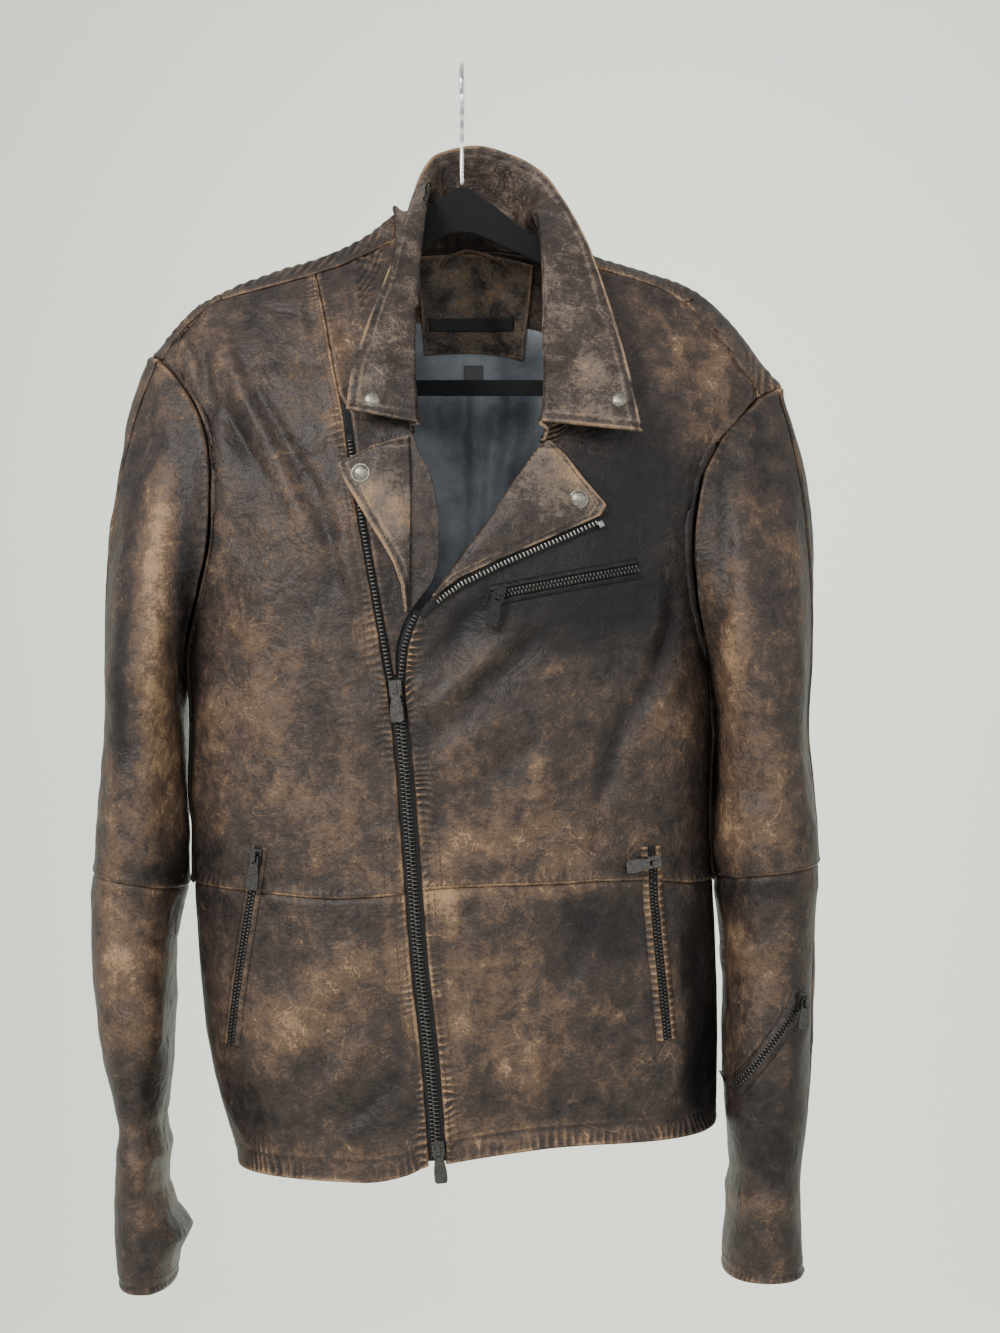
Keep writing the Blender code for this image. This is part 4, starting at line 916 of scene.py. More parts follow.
WORN["arm"] = (
    (-213, -331, 16, 32, 0, 1.0), (-216, -377, 12, 12, 0, 0.6), (-216, -464, 13, 86, 0, 1.1),
    (-224, -550, 16, 29, 0, 0.5), (-245, -392, 10, 58, 0, 0.3), (-244, -536, 10, 43, 0, 0.45),
    (-234, -643, 24, 40, 0, 0.75), (-249, -622, 9, 43, 0, 0.5), (-231, -769, 12, 6, 0, 0.8),
    (-231, -701, 14, 22, 0, 0.35), (-224, -823, 10, 22, 0, 0.25), (-198, -823, 7, 14, 0, 0.3),
    (-218, -228, 6, 7, 0, 0.5), (197, -392, 16, 43, 0, 0.45), (190, -464, 9, 86, 0, 0.6),
    (222, -521, 22, 58, 0, 0.45), (197, -557, 19, 22, 0, 0.5), (233, -392, 12, 86, 0, 0.3),
    (211, -334, 17, 22, 0, 0.25), (208, -651, 29, 26, 0, 0.75), (193, -629, 10, 14, 0, 0.6),
    (204, -823, 20, 9, 0, 0.35), (215, -679, 22, 12, 0, 0.3), (190, -687, 7, 22, 0, 0.3))
WORN["back"] = (
    (-105, -232, 46, 30, -18, 0.5), (104, -238, 46, 32, 18, 0.5), (0, -170, 60, 18, 0, 0.35),
    (10, -330, 60, 90, 0, 0.22), (-120, -420, 40, 70, 0, 0.3), (120, -440, 40, 70, 0, 0.3),
    (0, -545, 90, 22, 0, 0.35), (-60, -590, 60, 8, 0, 0.5), (70, -590, 60, 8, 0, 0.5),
    (-70, -690, 46, 40, 0, 0.4), (60, -720, 50, 40, 0, 0.4), (0, -775, 150, 10, 0, 0.4))
# The strong patches on the two lapels are partly rub and partly painted sheen.
WORN["flaps"] = (
    (80, -302, 34, 30, 0, 0.85), (100, -296, 12, 14, 0, 0.4), (-44, -330, 24, 30, 0, 0.75),
    (-62, -318, 14, 12, 0, 0.4), (92, -232, 16, 22, -25, 0.5), (76, -196, 12, 22, -25, 0.45),
    (100, -262, 14, 10, 0, 0.4), (60, -166, 10, 18, 0, 0.35), (-52, -206, 12, 24, 10, 0.45),
    (-62, -250, 12, 20, 10, 0.4), (12, -98, 40, 10, 0, 0.35), (-34, -150, 10, 24, 0, 0.3))
for part, table in WORN.items():
    print(part, "rubbed patches:", len(table))

# %% [markdown]
# Dark patches: the first finish stays dark where nothing rubs it, and painted shade darkens
# the hide where shadow falls: under the lapels, inside the elbows and along the folds beside
# the arms.

# %% Dark patches and painted shade
DARK_AND_SHADE = {}
DARK_AND_SHADE["front"] = (
    (-192, -363, 11, 98, 0, 0.55), (-149, -258, 11, 21, -30, 0.2), (-90, -365, 17, 42, 0, 0.22),
    (-51, -407, 10, 49, 0, 0.3), (91, -337, 63, 42, 0, 0.75), (70, -393, 77, 35, 0, 0.7),
    (126, -393, 42, 42, 0, 0.6), (134, -301, 42, 35, 0, 0.55), (14, -393, 35, 28, 0, 0.5),
    (-21, -435, 14, 28, 0, 0.35), (-28, -505, 13, 42, 0, 0.45), (-14, -532, 10, 42, 0, 0.2),
    (112, -491, 11, 42, -25, 0.35), (70, -477, 42, 28, 0, 0.2), (171, -364, 15, 63, 0, 0.35),
    (175, -507, 11, 84, 0, 0.4), (91, -616, 28, 25, -30, 0.45), (126, -624, 28, 28, 0, 0.4),
    (176, -729, 15, 56, 0, 0.85), (171, -635, 13, 42, 0, 0.5), (70, -749, 10, 28, 0, 0.3),
    (-52, -619, 21, 14, 0, 0.3), (-157, -741, 21, 35, 0, 0.4), (-98, -718, 21, 13, -40, 0.35),
    (-63, -749, 24, 11, -35, 0.4), (-35, -748, 11, 42, 0, 0.4), (-148, -583, 28, 21, 0, 0.35),
    (-183, -578, 10, 56, 0, 0.4), (-175, -627, 11, 35, 0, 0.25), (-141, -674, 14, 35, 0, 0.25),
    (-87, -176, 14, 18, 0, 0.2), (-144, -174, 17, 10, 0, 0.15), (98, -252, 42, 28, 0, 0.3),
    (70, -302, 28, 21, 0, 0.3))
DARK_AND_SHADE["arm"] = (
    (-213, -587, 19, 10, 0, 0.8), (-208, -270, 14, 22, 0, 0.35), (-194, -392, 5, 144, 0, 0.6),
    (-224, -730, 16, 29, 0, 0.3), (-203, -679, 6, 65, 0, 0.6), (-224, -852, 17, 12, 0, 0.4),
    (-202, -838, 10, 22, 0, 0.7), (-240, -440, 6, 110, 0, 0.7), (-231, -298, 9, 43, 0, 0.3),
    (204, -270, 16, 29, 0, 0.5), (211, -597, 33, 12, 0, 0.75), (215, -758, 32, 43, 0, 0.7),
    (238, -687, 12, 43, 0, 0.5), (186, -306, 6, 43, 0, 0.5), (222, -787, 22, 22, 0, 0.35),
    (182, -464, 3, 108, 0, 0.4), (236, -291, 10, 43, 0, 0.25))
DARK_AND_SHADE["back"] = (
    (-190, -420, 18, 160, 0, 0.55), (176, -430, 18, 160, 0, 0.55), (0, -440, 50, 60, 0, 0.3),
    (-60, -300, 30, 60, 0, 0.25), (70, -640, 60, 30, 0, 0.35), (-20, -730, 50, 30, 0, 0.3),
    (150, -700, 30, 60, 0, 0.35))
# The first flap patch is painted shadow under the hanging loop.
DARK_AND_SHADE["flaps"] = (
    (10, -129, 24, 8, 0, 1.2), (14, -112, 40, 8, 0, 0.5), (70, -222, 10, 26, -20, 0.3),
    (84, -272, 16, 8, 0, 0.3), (-44, -236, 10, 26, 0, 0.35), (-30, -296, 10, 22, 0, 0.3),
    (46, -140, 8, 20, 0, 0.3), (-20, -356, 10, 16, 0, 0.4))
for part, table in DARK_AND_SHADE.items():
    print(part, "dark patches:", len(table))

# %% [markdown]
# Every border of a panel is one of five kinds.  At a lapped seam one panel is folded and
# stitched over the other, so it stands up while the lower one dives under it.  A turned
# edge is the rim of a collar, lapel or cuff, a hem is turned deeper, and a fold is left flat.
# Leather sewn to a zip gathers into small puckers.

# %% Panel edges
TURNED_SEAM, HEM_SEAM = 4.8, 14.5


def borders(grid):
    """Distance in from each border of a grid, and the run along each direction."""
    up = np.linalg.norm(np.diff(grid, axis=0), axis=-1)
    over = np.linalg.norm(np.diff(grid, axis=1), axis=-1)
    bottom = np.concatenate([np.zeros((1, grid.shape[1])), np.cumsum(up, 0)])
    first = np.concatenate([np.zeros((grid.shape[0], 1)), np.cumsum(over, 1)], 1)
    return dict(bottom=bottom, top=bottom[-1:] - bottom, first=first,
                last=first[:, -1:] - first)


def steps(length, step):
    """Places along a panel, close together next to its seams."""
    rim = np.array([0, 0.7, 1.5, 2.4, 3.4, 4.6, 6.2])
    count = max(2, int((length - 2 * rim[-1]) / step))
    middle = np.linspace(rim[-1], length - rim[-1], count + 1)[1:-1]
    return np.concatenate([rim, middle, length - rim[::-1]])


def respaced(grid, step):
    """The same panel with points crowded towards its seams."""
    for axis in (0, 1):
        grid = np.swapaxes(grid, 0, axis)
        mean = np.linalg.norm(np.diff(grid, axis=0), axis=-1).mean(1)
        knots = np.concatenate([[0], np.cumsum(mean)])
        grid = smooth_rows(grid, knots, steps(knots[-1], step))
        grid = np.swapaxes(grid, 0, axis)
    return grid


def hump(d, at, width):
    """Smooth rise to 1 at one distance from a border."""
    return np.exp(-((d - at) / width) ** 2)


EDGES = dict(over=lambda d: 0.8 * hump(d, 2.8, 2.3) - 1.0 * np.clip(1 - d / 1.3, 0, 1) ** 2,
             under=lambda d: -1.1 * hump(d, 0, 2.0),
             turned=lambda d: 0.6 * hump(d, 2.0, 1.8) - 0.6 * hump(d, TURNED_SEAM, 0.9),
             hem=lambda d: 0.5 * hump(d, 2.0, 1.8) - 0.6 * hump(d, HEM_SEAM, 1.2),
             flat=lambda d: 0 * d)


def edged(grid, kinds, seed):
    """Height of a panel's seams, how much its edges are rubbed, and the pull of its puckers."""
    away = borders(grid)
    height, rubbed, pull, phase = np.zeros((4, *grid.shape[:2]))
    for border, (kind, pucker, pitch, rub) in kinds.items():
        d = away[border]
        run = away["bottom"] if border in ("first", "last") else away["first"]
        height += EDGES[kind](d)
        patchy = np.clip(0.62 + 0.7 * wander(grid, 40, 2, seed + 3), 0.08, 1)
        deep = np.clip(5 + 3 * wander(grid, 26, 1, seed + 5), 2.5, 9)
        deep = deep * dict(turned=0.5, hem=1.9).get(kind, 1)
        here = pucker * patchy * hump(np.maximum(0, d - 3), 0, deep) * np.clip(d / 1.5, 0, 1)
        phase = np.where(here > pull, run / pitch + 0.5 * wander(grid, 25, 2, seed), phase)
        pull = np.maximum(pull, here)
        line = 0.6 * hump(d, 2.6, 1.3) if kind == "under" else hump(d, 0.8, 1.5)
        rubbed += rub * line * np.clip(0.8 + 0.5 * wander(grid, 14, 2, seed + 7), 0, 1.3)
        if kind in ("turned", "hem"):
            sewn = TURNED_SEAM if kind == "turned" else HEM_SEAM
            # Beyond the stitch line the rim is rubbed; the stitch line itself is painted
            # darker, as shade in its groove.
            rubbed += 0.4 * rub * hump(d - sewn, 2.2, 1.3) - 0.9 * hump(d, sewn, 0.9)
    return height, rubbed, pull, phase


print(
    "height at a lapped seam, mm:",
    [round(float(v), 2) for v in EDGES["over"](np.arange(0.0, 8, 2))])

# %% [markdown]
# One maker lays every leather panel: it presses the relief into the form, keeps the tan of
# rubbed ridges and the dark of folds, which is partly painted shade, as two values at each
# point, gives the sheet its thickness and says how large a piece of hide was cut for it.

# %% Panel maker
TRIANGLES = {}


def area_of(grid):
    """Area of a grid, from the two diagonals of each face."""
    a = grid[1:, 1:] - grid[:-1, :-1]
    b = grid[1:, :-1] - grid[:-1, 1:]
    return float(np.linalg.norm(np.cross(a, b), axis=-1).sum() / 2)


def grid_mesh(name, grid, outward, values=()):
    """Mesh of a grid of points in millimetres, its faces turned outward."""
    if (face_of(grid) * outward).sum() < 0:
        grid = grid[:, ::-1]
        values = [(key, value[:, ::-1]) for key, value in values]
    rows, cols = grid.shape[:2]
    bm = bmesh.new()
    bmesh.ops.create_grid(bm, x_segments=cols - 1, y_segments=rows - 1, size=1)
    mesh = bpy.data.meshes.new(name)
    bm.to_mesh(mesh)
    bm.free()
    spots = np.empty(len(mesh.vertices) * 3)
    mesh.vertices.foreach_get("co", spots)
    spots = spots.reshape(-1, 3)
    c = np.rint((spots[:, 0] + 1) * (cols - 1) / 2).astype(int)
    r = np.rint((spots[:, 1] + 1) * (rows - 1) / 2).astype(int)
    mesh.vertices.foreach_set("co", (grid[r, c] * MM).ravel())
    for key, value in values:
        layer = mesh.attributes.new(key, "FLOAT", "POINT")
        layer.data.foreach_set("value", value[r, c].ravel())
    mesh.polygons.foreach_set("use_smooth", [True] * len(mesh.polygons))
    mesh.update()
    return mesh


def put(name, mesh, paint, nodes=()):
    """Object of a mesh, painted, in place of its nodes and carried by the jacket's body."""
    made = bpy.data.objects.new(name, mesh)
    scene.collection.objects.link(made)
    mesh.materials.append(paint)
    if nodes:
        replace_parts(made, *nodes)
    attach(made, "jacket")
    return made


def thicken(made, thick):
    """Wall of a sheet, inward from its outer face."""
    wall = made.modifiers.new("thickness", "SOLIDIFY")
    wall.thickness = thick * MM
    wall.offset = -1.0
    return made


def sheet_of(name, grid):
    """Print the cut of a hung sheet from its own grid, its longest runs and its area, and keep
    its triangle count.
    """
    away = borders(grid)
    wide = float(away["first"][:, -1].max()) * MM
    long = float(away["bottom"][-1].max()) * MM
    area = min(max(area_of(grid) * MM * MM, 0.31 * wide * long), wide * long)
    TRIANGLES[name] = 4 * (grid.shape[0] - 1) * (grid.shape[1] - 1)
    print(f"{name}: cut {wide / MM:.0f} by {long / MM:.0f} mm, {area * 1e4:.0f} cm2,",
          TRIANGLES[name], "triangles")

# %% [markdown]
# Finishes are mixed like sums.  A wire carries one value through a material, and plain
# arithmetic on wires lays the nodes, so a finish reads as a short recipe.


# %% Wires
class Wire:
    """One value in a material, ready for arithmetic."""

    def __init__(self, box, socket):
        self.box = box
        self.socket = socket

    def maths(self, kind, *others, swap=False):
        """This value and others through one Math node, in either order."""
        terms = [self, *others]
        if swap:
            terms.reverse()
        inputs = {str(i): term for i, term in enumerate(terms)}
        return self.box.node("ShaderNodeMath", dict(operation=kind), **inputs)

    def __add__(self, other):
        return self.maths("ADD", other)

    def __sub__(self, other):
        return self.maths("SUBTRACT", other)

    def __rsub__(self, other):
        return self.maths("SUBTRACT", other, swap=True)

    def __mul__(self, other):
        return self.maths("MULTIPLY", other)

    __radd__ = __add__
    __rmul__ = __mul__

    def wave(self):
        return self.maths("SINE")

    def over(self, level):
        """This value, but never below a level."""
        return self.maths("MAXIMUM", level)

    def ramp(self, low, high):
        """0 below one level, 1 above the other, and smooth between them."""
        limits = {"From Min": low, "From Max": high}
        return self.box.node("ShaderNodeMapRange", dict(interpolation_type="SMOOTHSTEP"),
                             Value=self, **limits)

    def between(self, a, b):
        """Colour or value from a to b as this goes from 0 to 1."""
        return self.box.node("ShaderNodeMix", dict(data_type="RGBA"), pick="Result",
                             Factor=self, A=a, B=b)


# %% [markdown]
# A paint is one finish: its shader, the settings that never change, and the noises and
# values at each point that vary it.


# %% Paint box
class Paint:
    """A finish: one shader and the nodes that feed it."""

    def __init__(self, name, colour, rough, metal=0.0, **constants):
        self.made = bpy.data.materials.new(name)
        self.made.use_nodes = True
        self.tree = self.made.node_tree
        self.shader = self.tree.nodes["Principled BSDF"]
        self.set("Base Color", colour)
        self.set("Roughness", rough)
        self.set("Metallic", metal)
        for key, value in constants.items():
            self.set(key.replace("_", " "), value)
        self.place = self.node("ShaderNodeTexCoord", {}, pick="Object")

    def plug(self, socket, value):
        """Join a wire to a socket, or set it to a colour or number."""
        if isinstance(value, Wire):
            self.tree.links.new(value.socket, socket)
        elif isinstance(value, (tuple, list)):
            socket.default_value = (*value, 1)[:len(socket.default_value)]
        else:
            socket.default_value = value

    def set(self, key, value):
        """One input of the shader."""
        self.plug(self.shader.inputs[key], value)

    def node(self, kind, settings, pick=None, **sockets):
        """New node with its settings and inputs; the wire is its first output unless picked."""
        made = self.tree.nodes.new(kind)
        for key, value in settings.items():
            setattr(made, key, value)
        for key, value in sockets.items():
            self.plug(made.inputs[int(key)] if key.isdigit() else named(made.inputs, key),
                      value)
        return Wire(self, named(made.outputs, pick) if pick else made.outputs[0])

    def value(self, key):
        """Value kept at each point of the mesh."""
        return self.node("ShaderNodeAttribute", dict(attribute_name=key), pick="Fac")

    def stretched(self, *scale):
        """Places with their own scale along each axis, for threads and hairs."""
        return self.node("ShaderNodeVectorMath", dict(operation="MULTIPLY"),
                         **{"0": self.place, "1": scale})

    def noise(self, scale, detail=2.0, rough=0.5, place=None, warp=0.0):
        """Cloudy noise, about 0.5 on average."""
        return self.node("ShaderNodeTexNoise", {}, Vector=place or self.place, Scale=scale,
                         Detail=detail, Roughness=rough, Distortion=warp)

    def bump(self, height, depth, strength=1.0):
        """Fine relief, with its depth in metres."""
        self.set(
            "Normal",
            self.node("ShaderNodeBump", {}, Height=height, Distance=depth, Strength=strength))
        return self


def named(sockets, key):
    """First socket in use with a name."""
    return next(s for s in sockets if s.enabled and s.name == key)


# %% [markdown]
# Aged cowhide.  A dark brown finish lies over tan hide: rubbing thins it on ridges, edges
# and puckers, first to a dusty mid brown and then to tan, and always through the grain, so
# the rub is mottled.  Folds, dips and the troughs of puckers are painted almost black:
# partly the first finish kept there and partly painted shade.

# %% Hide
FOLD_BLACK_AND_SHADE, DEEP, BROWN = (
    (0.0085, 0.0085, 0.0105), (0.026, 0.0195, 0.0175), (0.060, 0.0425, 0.035))
DUSTY, TAN = (0.150, 0.094, 0.061), (0.43, 0.265, 0.150)


def leather(name, worn=DUSTY, gloss=0.0):
    """Worn hide, driven by the rub, the dark with its painted shade and the puckers kept at
    each point.
    """
    paint = Paint(name, BROWN, 0.5, Specular_IOR_Level=0.36)
    wear, dark, pull = paint.value("wear"), paint.value("dark"), paint.value("pull")
    crest = (paint.value("phase") * (2 * pi)).wave() * pull
    cloud = paint.noise(15, 3, 0.6)
    mottle = paint.noise(72, 4, 0.68, warp=0.4)
    grain = paint.noise(560, 2, 0.6)
    fibre = paint.noise(1, 2, 0.6, place=paint.stretched(230, 650, 1100))
    rub = wear * 0.80 + (cloud - 0.5) * 1.2 + (mottle - 0.5) * 1.9
    rub = rub + (grain - 0.5) * 0.9 + (fibre - 0.5) * 0.7
    rub = rub + crest.over(0.0) * 1.1 - dark * 0.5 + 0.05
    vein = paint.noise(22, 1, 0.5, place=paint.stretched(1, 1, 1.7), warp=0.8)
    some_places = paint.noise(31, 1, 0.5).ramp(0.54, 0.68)
    scratch = (1 - (vein - 0.53).maths("ABSOLUTE").ramp(0.002, 0.008)) * some_places
    crack = paint.noise(46, 2, 0.5, place=paint.stretched(1.5, 1, 0.8), warp=1.4)
    dry_places = (mottle + cloud - 0.5).ramp(0.42, 0.66)
    crackle = (1 - (crack - 0.5).maths("ABSOLUTE").ramp(0.003, 0.016)) * dry_places
    rub = rub + scratch * 0.5 + crackle * 0.42
    tone = rub.ramp(-0.42, 0.10).between(DEEP, BROWN)
    tone = rub.ramp(0.08, 0.62).between(tone, worn)
    tone = rub.ramp(0.58, 1.30).between(tone, TAN)
    # Painted shade: the dark value and the troughs of the puckers mix the colour towards near
    # black.
    dark_and_shade = (dark * 0.9 + (0 - crest).over(0.0) * 0.7 + (cloud - 0.5) * 0.25).ramp(0.12, 1.1)
    paint.set("Base Color", (dark_and_shade * 0.86).between(tone, FOLD_BLACK_AND_SHADE))
    paint.set("Roughness", (0.47 - gloss + (mottle - 0.5) * 0.30
                            + rub.ramp(0.2, 1.0) * 0.14).over(0.26))
    dents = paint.noise(44, 2, 0.55, warp=1.1)
    height = grain * 0.5 + mottle * 1.5 + dents * 2.6 + crest * 0.9 + crackle * 0.35
    return paint.bump(height, 0.0010, 0.9).made


hide = leather("aged_cowhide")
# The collar's rubbed colour is lighter and greyer than the body's: rub, and painted sheen for
# the glossy grey of the lapels.
hide_collar_with_painted_sheen = leather("aged_cowhide_collar", worn=(0.185, 0.138, 0.105), gloss=0.03)
print("nodes in the hide:", len(hide.node_tree.nodes))

# %% [markdown]
# Each panel lists its borders with the kind of seam, how strong and how wide its puckers
# are, and how much its edge is rubbed.  The relief is the creases, slow waves and small
# dents, all fading at the seams, where stitching holds the hide flat.


# %% Cutting a panel
def tucked(laid, outward, values, depth):
    """The first row again, turned under as a seam allowance."""
    back = unit(laid[0] - laid[1])
    flap = laid[:1] - outward[:1] * depth + back * 3.0
    # The turned-under row is painted fully dark, as shade under the seam.
    values = [(key, np.concatenate([value[:1] * 0 + (key == "dark"), value])) for key,
              value in values]
    return np.concatenate([flap, laid]), np.concatenate([outward[:1], outward]), values


def panel(name, grid, outward, kinds, paint, side, step, waves=2.2, lift=0.0, thick=LEATHER,
          seed=1, extra=None, tuck=0.0):
    """One cut of hide with its seams, creases and wear, set in the frame."""
    both = respaced(np.concatenate([grid, outward], -1), step)
    grid, outward = both[..., :3], unit(both[..., 3:])
    spots = grid[..., [0, 2]]
    height, rubbed, pull, phase = edged(grid, kinds, seed)
    inner = np.clip(np.min(list(borders(grid).values()), 0) / 14, 0, 1)
    folds = pressed(spots, CREASES[side])
    slow = waves * (0.75 * wander(grid, 95, 1, seed)
                    + 0.42 * wander(grid, 42, 2, seed + 2)) * inner
    small = 0.22 * wander(grid, 13, 2, seed + 4) * np.minimum(1, inner + 0.3)
    total = folds * np.minimum(1, inner * 1.5 + 0.15) + slow + small
    ridge = np.clip(total / 5, -1, 1)
    wear = np.clip(blotched(spots, WORN[side]) + rubbed + 0.35 * np.maximum(0, ridge), 0, 1.4)
    # Dark is the dark patches plus painted shade in the troughs of the relief.
    dark = np.clip(blotched(spots, DARK_AND_SHADE[side]) + 0.45 * np.maximum(0, -ridge), 0, 1.3)
    if extra is not None:
        more, more_wear, more_dark = extra(grid, outward)
        total, wear, dark = total + more, wear + more_wear, dark + more_dark
    laid = grid + outward * (height + total + lift)[..., None]
    values = [("wear", wear), ("dark", dark), ("pull", pull), ("phase", phase)]
    if tuck:
        laid, outward, values = tucked(laid, outward, values, tuck)
    thicken(put(name, grid_mesh(name, laid, outward, values), paint, [name]), thick)
    sheet_of(name, laid)
    LAID[name] = laid, outward


LAID = {}
over, under = ("over", 0.25, 6.0, 0.9), ("under", 0.1, 7.0, 0.3)
KINDS = {
    "right_front_upper": dict(bottom=("over", 0.3, 6.5, 1.0), top=under,
        first=("over", 0.55, 5.0, 0.8), last=over),
    "right_front_inner": dict(top=under, first=("flat", 0, 5, 0), last=("over", 0.2, 5.0, 0.5)),
    "right_front_lower": dict(bottom=("hem", 0.5, 5.5, 0.9), top=under,
        first=("over", 0.8, 5.0, 0.8), last=over),
    "left_front_upper": dict(bottom=("over", 0.3, 6.5, 1.0), top=under,
        first=("over", 1.0, 5.0, 0.8), last=over),
    "left_front_lower": dict(bottom=("hem", 0.55, 5.5, 1.1), top=under,
        first=("over", 1.0, 5.0, 0.9), last=over),
    "back_upper": dict(bottom=("over", 0.3, 6.5, 0.8), top=under, first=under, last=under),
    "back_lower": dict(bottom=("hem", 0.45, 5.5, 0.8), top=under, first=under, last=under),
    "right_shoulder_band": dict(bottom=under, top=over, first=over, last=over),
    "left_shoulder_band": dict(bottom=under, top=over, first=over, last=over),}


def quilted(grid, outward):
    """Slanting ribs of the shoulder bands, rubbed on top and painted with shade in their
    grooves, their neck ends under the collar.
    """
    away = borders(grid)
    rib = np.cos(2 * pi * (away["bottom"] / 8.5 + away["first"] / 26) + wander(grid, 30) * 0.9)
    inside = np.clip(np.minimum(away["first"], away["last"]) / 6 - 0.5, 0, 1)
    broken = np.clip(0.6 + 0.8 * wander(grid, 18, 2, 4), 0.1, 1.2) * inside
    sunk = 2.4 * np.clip(1 - away["bottom"] / 16, 0, 1) ** 2
    return (0.45 * rib * broken - sunk, 0.7 * np.maximum(0, rib) ** 2 * broken,
            0.5 * np.maximum(0, -rib) * broken)


def gathered(grid, outward):
    """The wedge of pleated hide let in between the wearer's right shoulder and the collar, with
    painted shade between its pleats.
    """
    x, z = grid[..., 0], grid[..., 2]
    near = np.interp(z, [-192, -137, -118], [-73, -77, -66])
    far = np.interp(z, [-192, -150, -118], [-69, -58, -52])
    inside = np.clip((x - near) / 1.5, 0, 1) * np.clip((far - x) / 1.5, 0, 1) * (z > -190)
    rib = np.cos(2 * pi * ((z + 0.35 * x) / 6.2) + 1.4 * wander(grid, 16, 2, 3))
    seam = np.exp(-((x - near + 1.2) / 1.3) ** 2) * (z > -195)
    return (0.9 * rib * inside + 0.8 * seam, 0.7 * np.maximum(0, rib) * inside + 0.45 * seam,
            0.8 * np.maximum(0, -rib) * inside)


for k, (name, grid) in enumerate(PANELS.items()):
    rear = name.startswith("back")
    band = name.endswith("band")
    panel(name, grid, body_normal(grid), KINDS[name], hide, "back" if rear else "front",
          4.5 if rear else 1.7 if band else 2.4, 0.8 if band else 2.2, seed=k,
          extra=quilted if band else gathered if name == "right_front_inner" else None)

# %% [markdown]
# The sleeves are laid in the same way.  Their caps are tucked under the armhole seam, and
# the wearer's right cuff is pushed out to a point behind its vent.


# %% Sleeve panels
def flared(grid, outward):
    """The wearer's right cuff, pushed out towards the body behind its vent."""
    x, z = outward[..., 0], grid[..., 2]
    sharp = np.clip(x * 1.5 - 0.45, 0, 1) ** 1.4
    out = sharp * np.interp(z, [-880, -868, -860, -851, -836, -818, -790],
                            [-3, -3, 1, 5, -4, -4, 0])
    return out, 0 * out, 0 * out


low_seam = ("over", 0.1, 7.0, 0.35)
SLEEVE_KINDS = dict(
    upper=dict(bottom=("over", 0.25, 7.0, 0.8), top=("over", 0.1, 7.0, 0.7), first=low_seam,
        last=under),
    forearm=dict(bottom=under, top=("turned", 0.3, 6.0, 0.6), first=low_seam, last=under))
for who, sewn in SLEEVES.items():
    elbow, cuff = sewn["elbow"], len(sewn["grid"]) - 1
    for part, cols in sewn["columns"].items():
        for cut, low, high in (("upper", 0, elbow), ("forearm", elbow, cuff)):
            grid, outward = (sewn[key][low:high + 1][:, cols] for key in ("grid", "normals"))
            panel(f"{who}_sleeve_{cut}_{part}", grid, outward, SLEEVE_KINDS[cut], hide, "arm",
                  2.6 if part == "front" else 3.2, seed=len(LAID),
                  tuck=4.2 if cut == "upper" else 0.0,
                  extra=flared if (who, cut) == ("right", "forearm") else None)

# %% [markdown]
# Collar and lapels are paler and dustier than the rest, partly rubbed and partly painted sheen,
# with a turned and stitched rim.

# %% Collar and lapel panels
collar_out = face_of(COLLAR_GRID)
collar_out = unit(collar_out * np.sign(collar_out[30, 130, 1]))
collar_end = ("turned", 0.1, 6, 1.3)
panel(
    "collar", COLLAR_GRID, collar_out,
    dict(bottom=("flat", 0, 6, 0), top=("turned", 0.15, 6.0, 1.5), first=collar_end,
        last=collar_end),
    hide_collar_with_painted_sheen, "flaps", 2.2, 0.8, COLLAR_THICK / 2, COLLAR_THICK, 31, tuck=1.6)
lapel_kinds = dict(bottom=("turned", 0.1, 6, 1.3), top=("flat", 0, 6, 0),
                   first=("flat", 0, 5, 0), last=("turned", 0.15, 5.5, 1.4))
for name, grid in LAPELS.items():
    panel(name, grid, body_normal(grid), lapel_kinds, hide_collar_with_painted_sheen, "flaps", 1.8, 0.5, seed=33)
print("triangles in the hide:", sum(TRIANGLES.values()))

# %% [markdown]
# Zips, snaps and thread all lie on the finished hide, so they're laid by feeling for its
# surface: a probe comes in from the front and gives the place and the lie of the leather.


# %% Feeling for the surface
def tree_of(names):
    """Search tree of laid panels, for probing their surface."""
    spots, faces = [], []
    for name in names:
        grid = LAID[name][0]
        start, cols = len(spots), grid.shape[1]
        spots += grid.reshape(-1, 3).tolist()
        corner = (np.arange(grid.shape[0] - 1)[:, None] * cols +
                  np.arange(cols - 1)).ravel() + start
        faces += np.stack([corner, corner + 1, corner + cols + 1, corner + cols], 1).tolist()
    return BVHTree.FromPolygons(spots, faces)


FRONT = tree_of([n for n in LAID if "front" in n and "sleeve" not in n])
ARMS = tree_of([n for n in LAID if "sleeve" in n])
FLAPS = tree_of(["right_lapel", "left_lapel", "collar"])
PROBE_FROM, MIDDLE_PLANE = -400, 5


def felt(tree, x, z, lift=0.0):
    """Place over the hide seen from the front, and its outward direction."""
    spot, out, _, _ = tree.ray_cast(Vector((x, PROBE_FROM, z)), Vector((0, 1, 0)))
    if spot is None or spot.y > MIDDLE_PLANE:
        spot = Vector(on_body(x, z, -1).tolist())
        out = Vector(body_normal(np.array(spot)).tolist())
    out = out if out.y < 0 else -out
    return np.array(spot + out * lift), np.array(out)


def length_of(path):
    """Length of a drawn line."""
    return run_of(np.array(path, float))[-1]


def aside_of(line):
    """Ways along a line of the flat view and, beside each, the way to its left."""
    way = unit(np.gradient(line, axis=0))
    return way, np.stack([-way[:, 1], way[:, 0]], -1)


def sampled(line, runs, at):
    """Values of each column of a line at runs along it."""
    return np.stack([np.interp(at, runs, column) for column in line.T], -1)


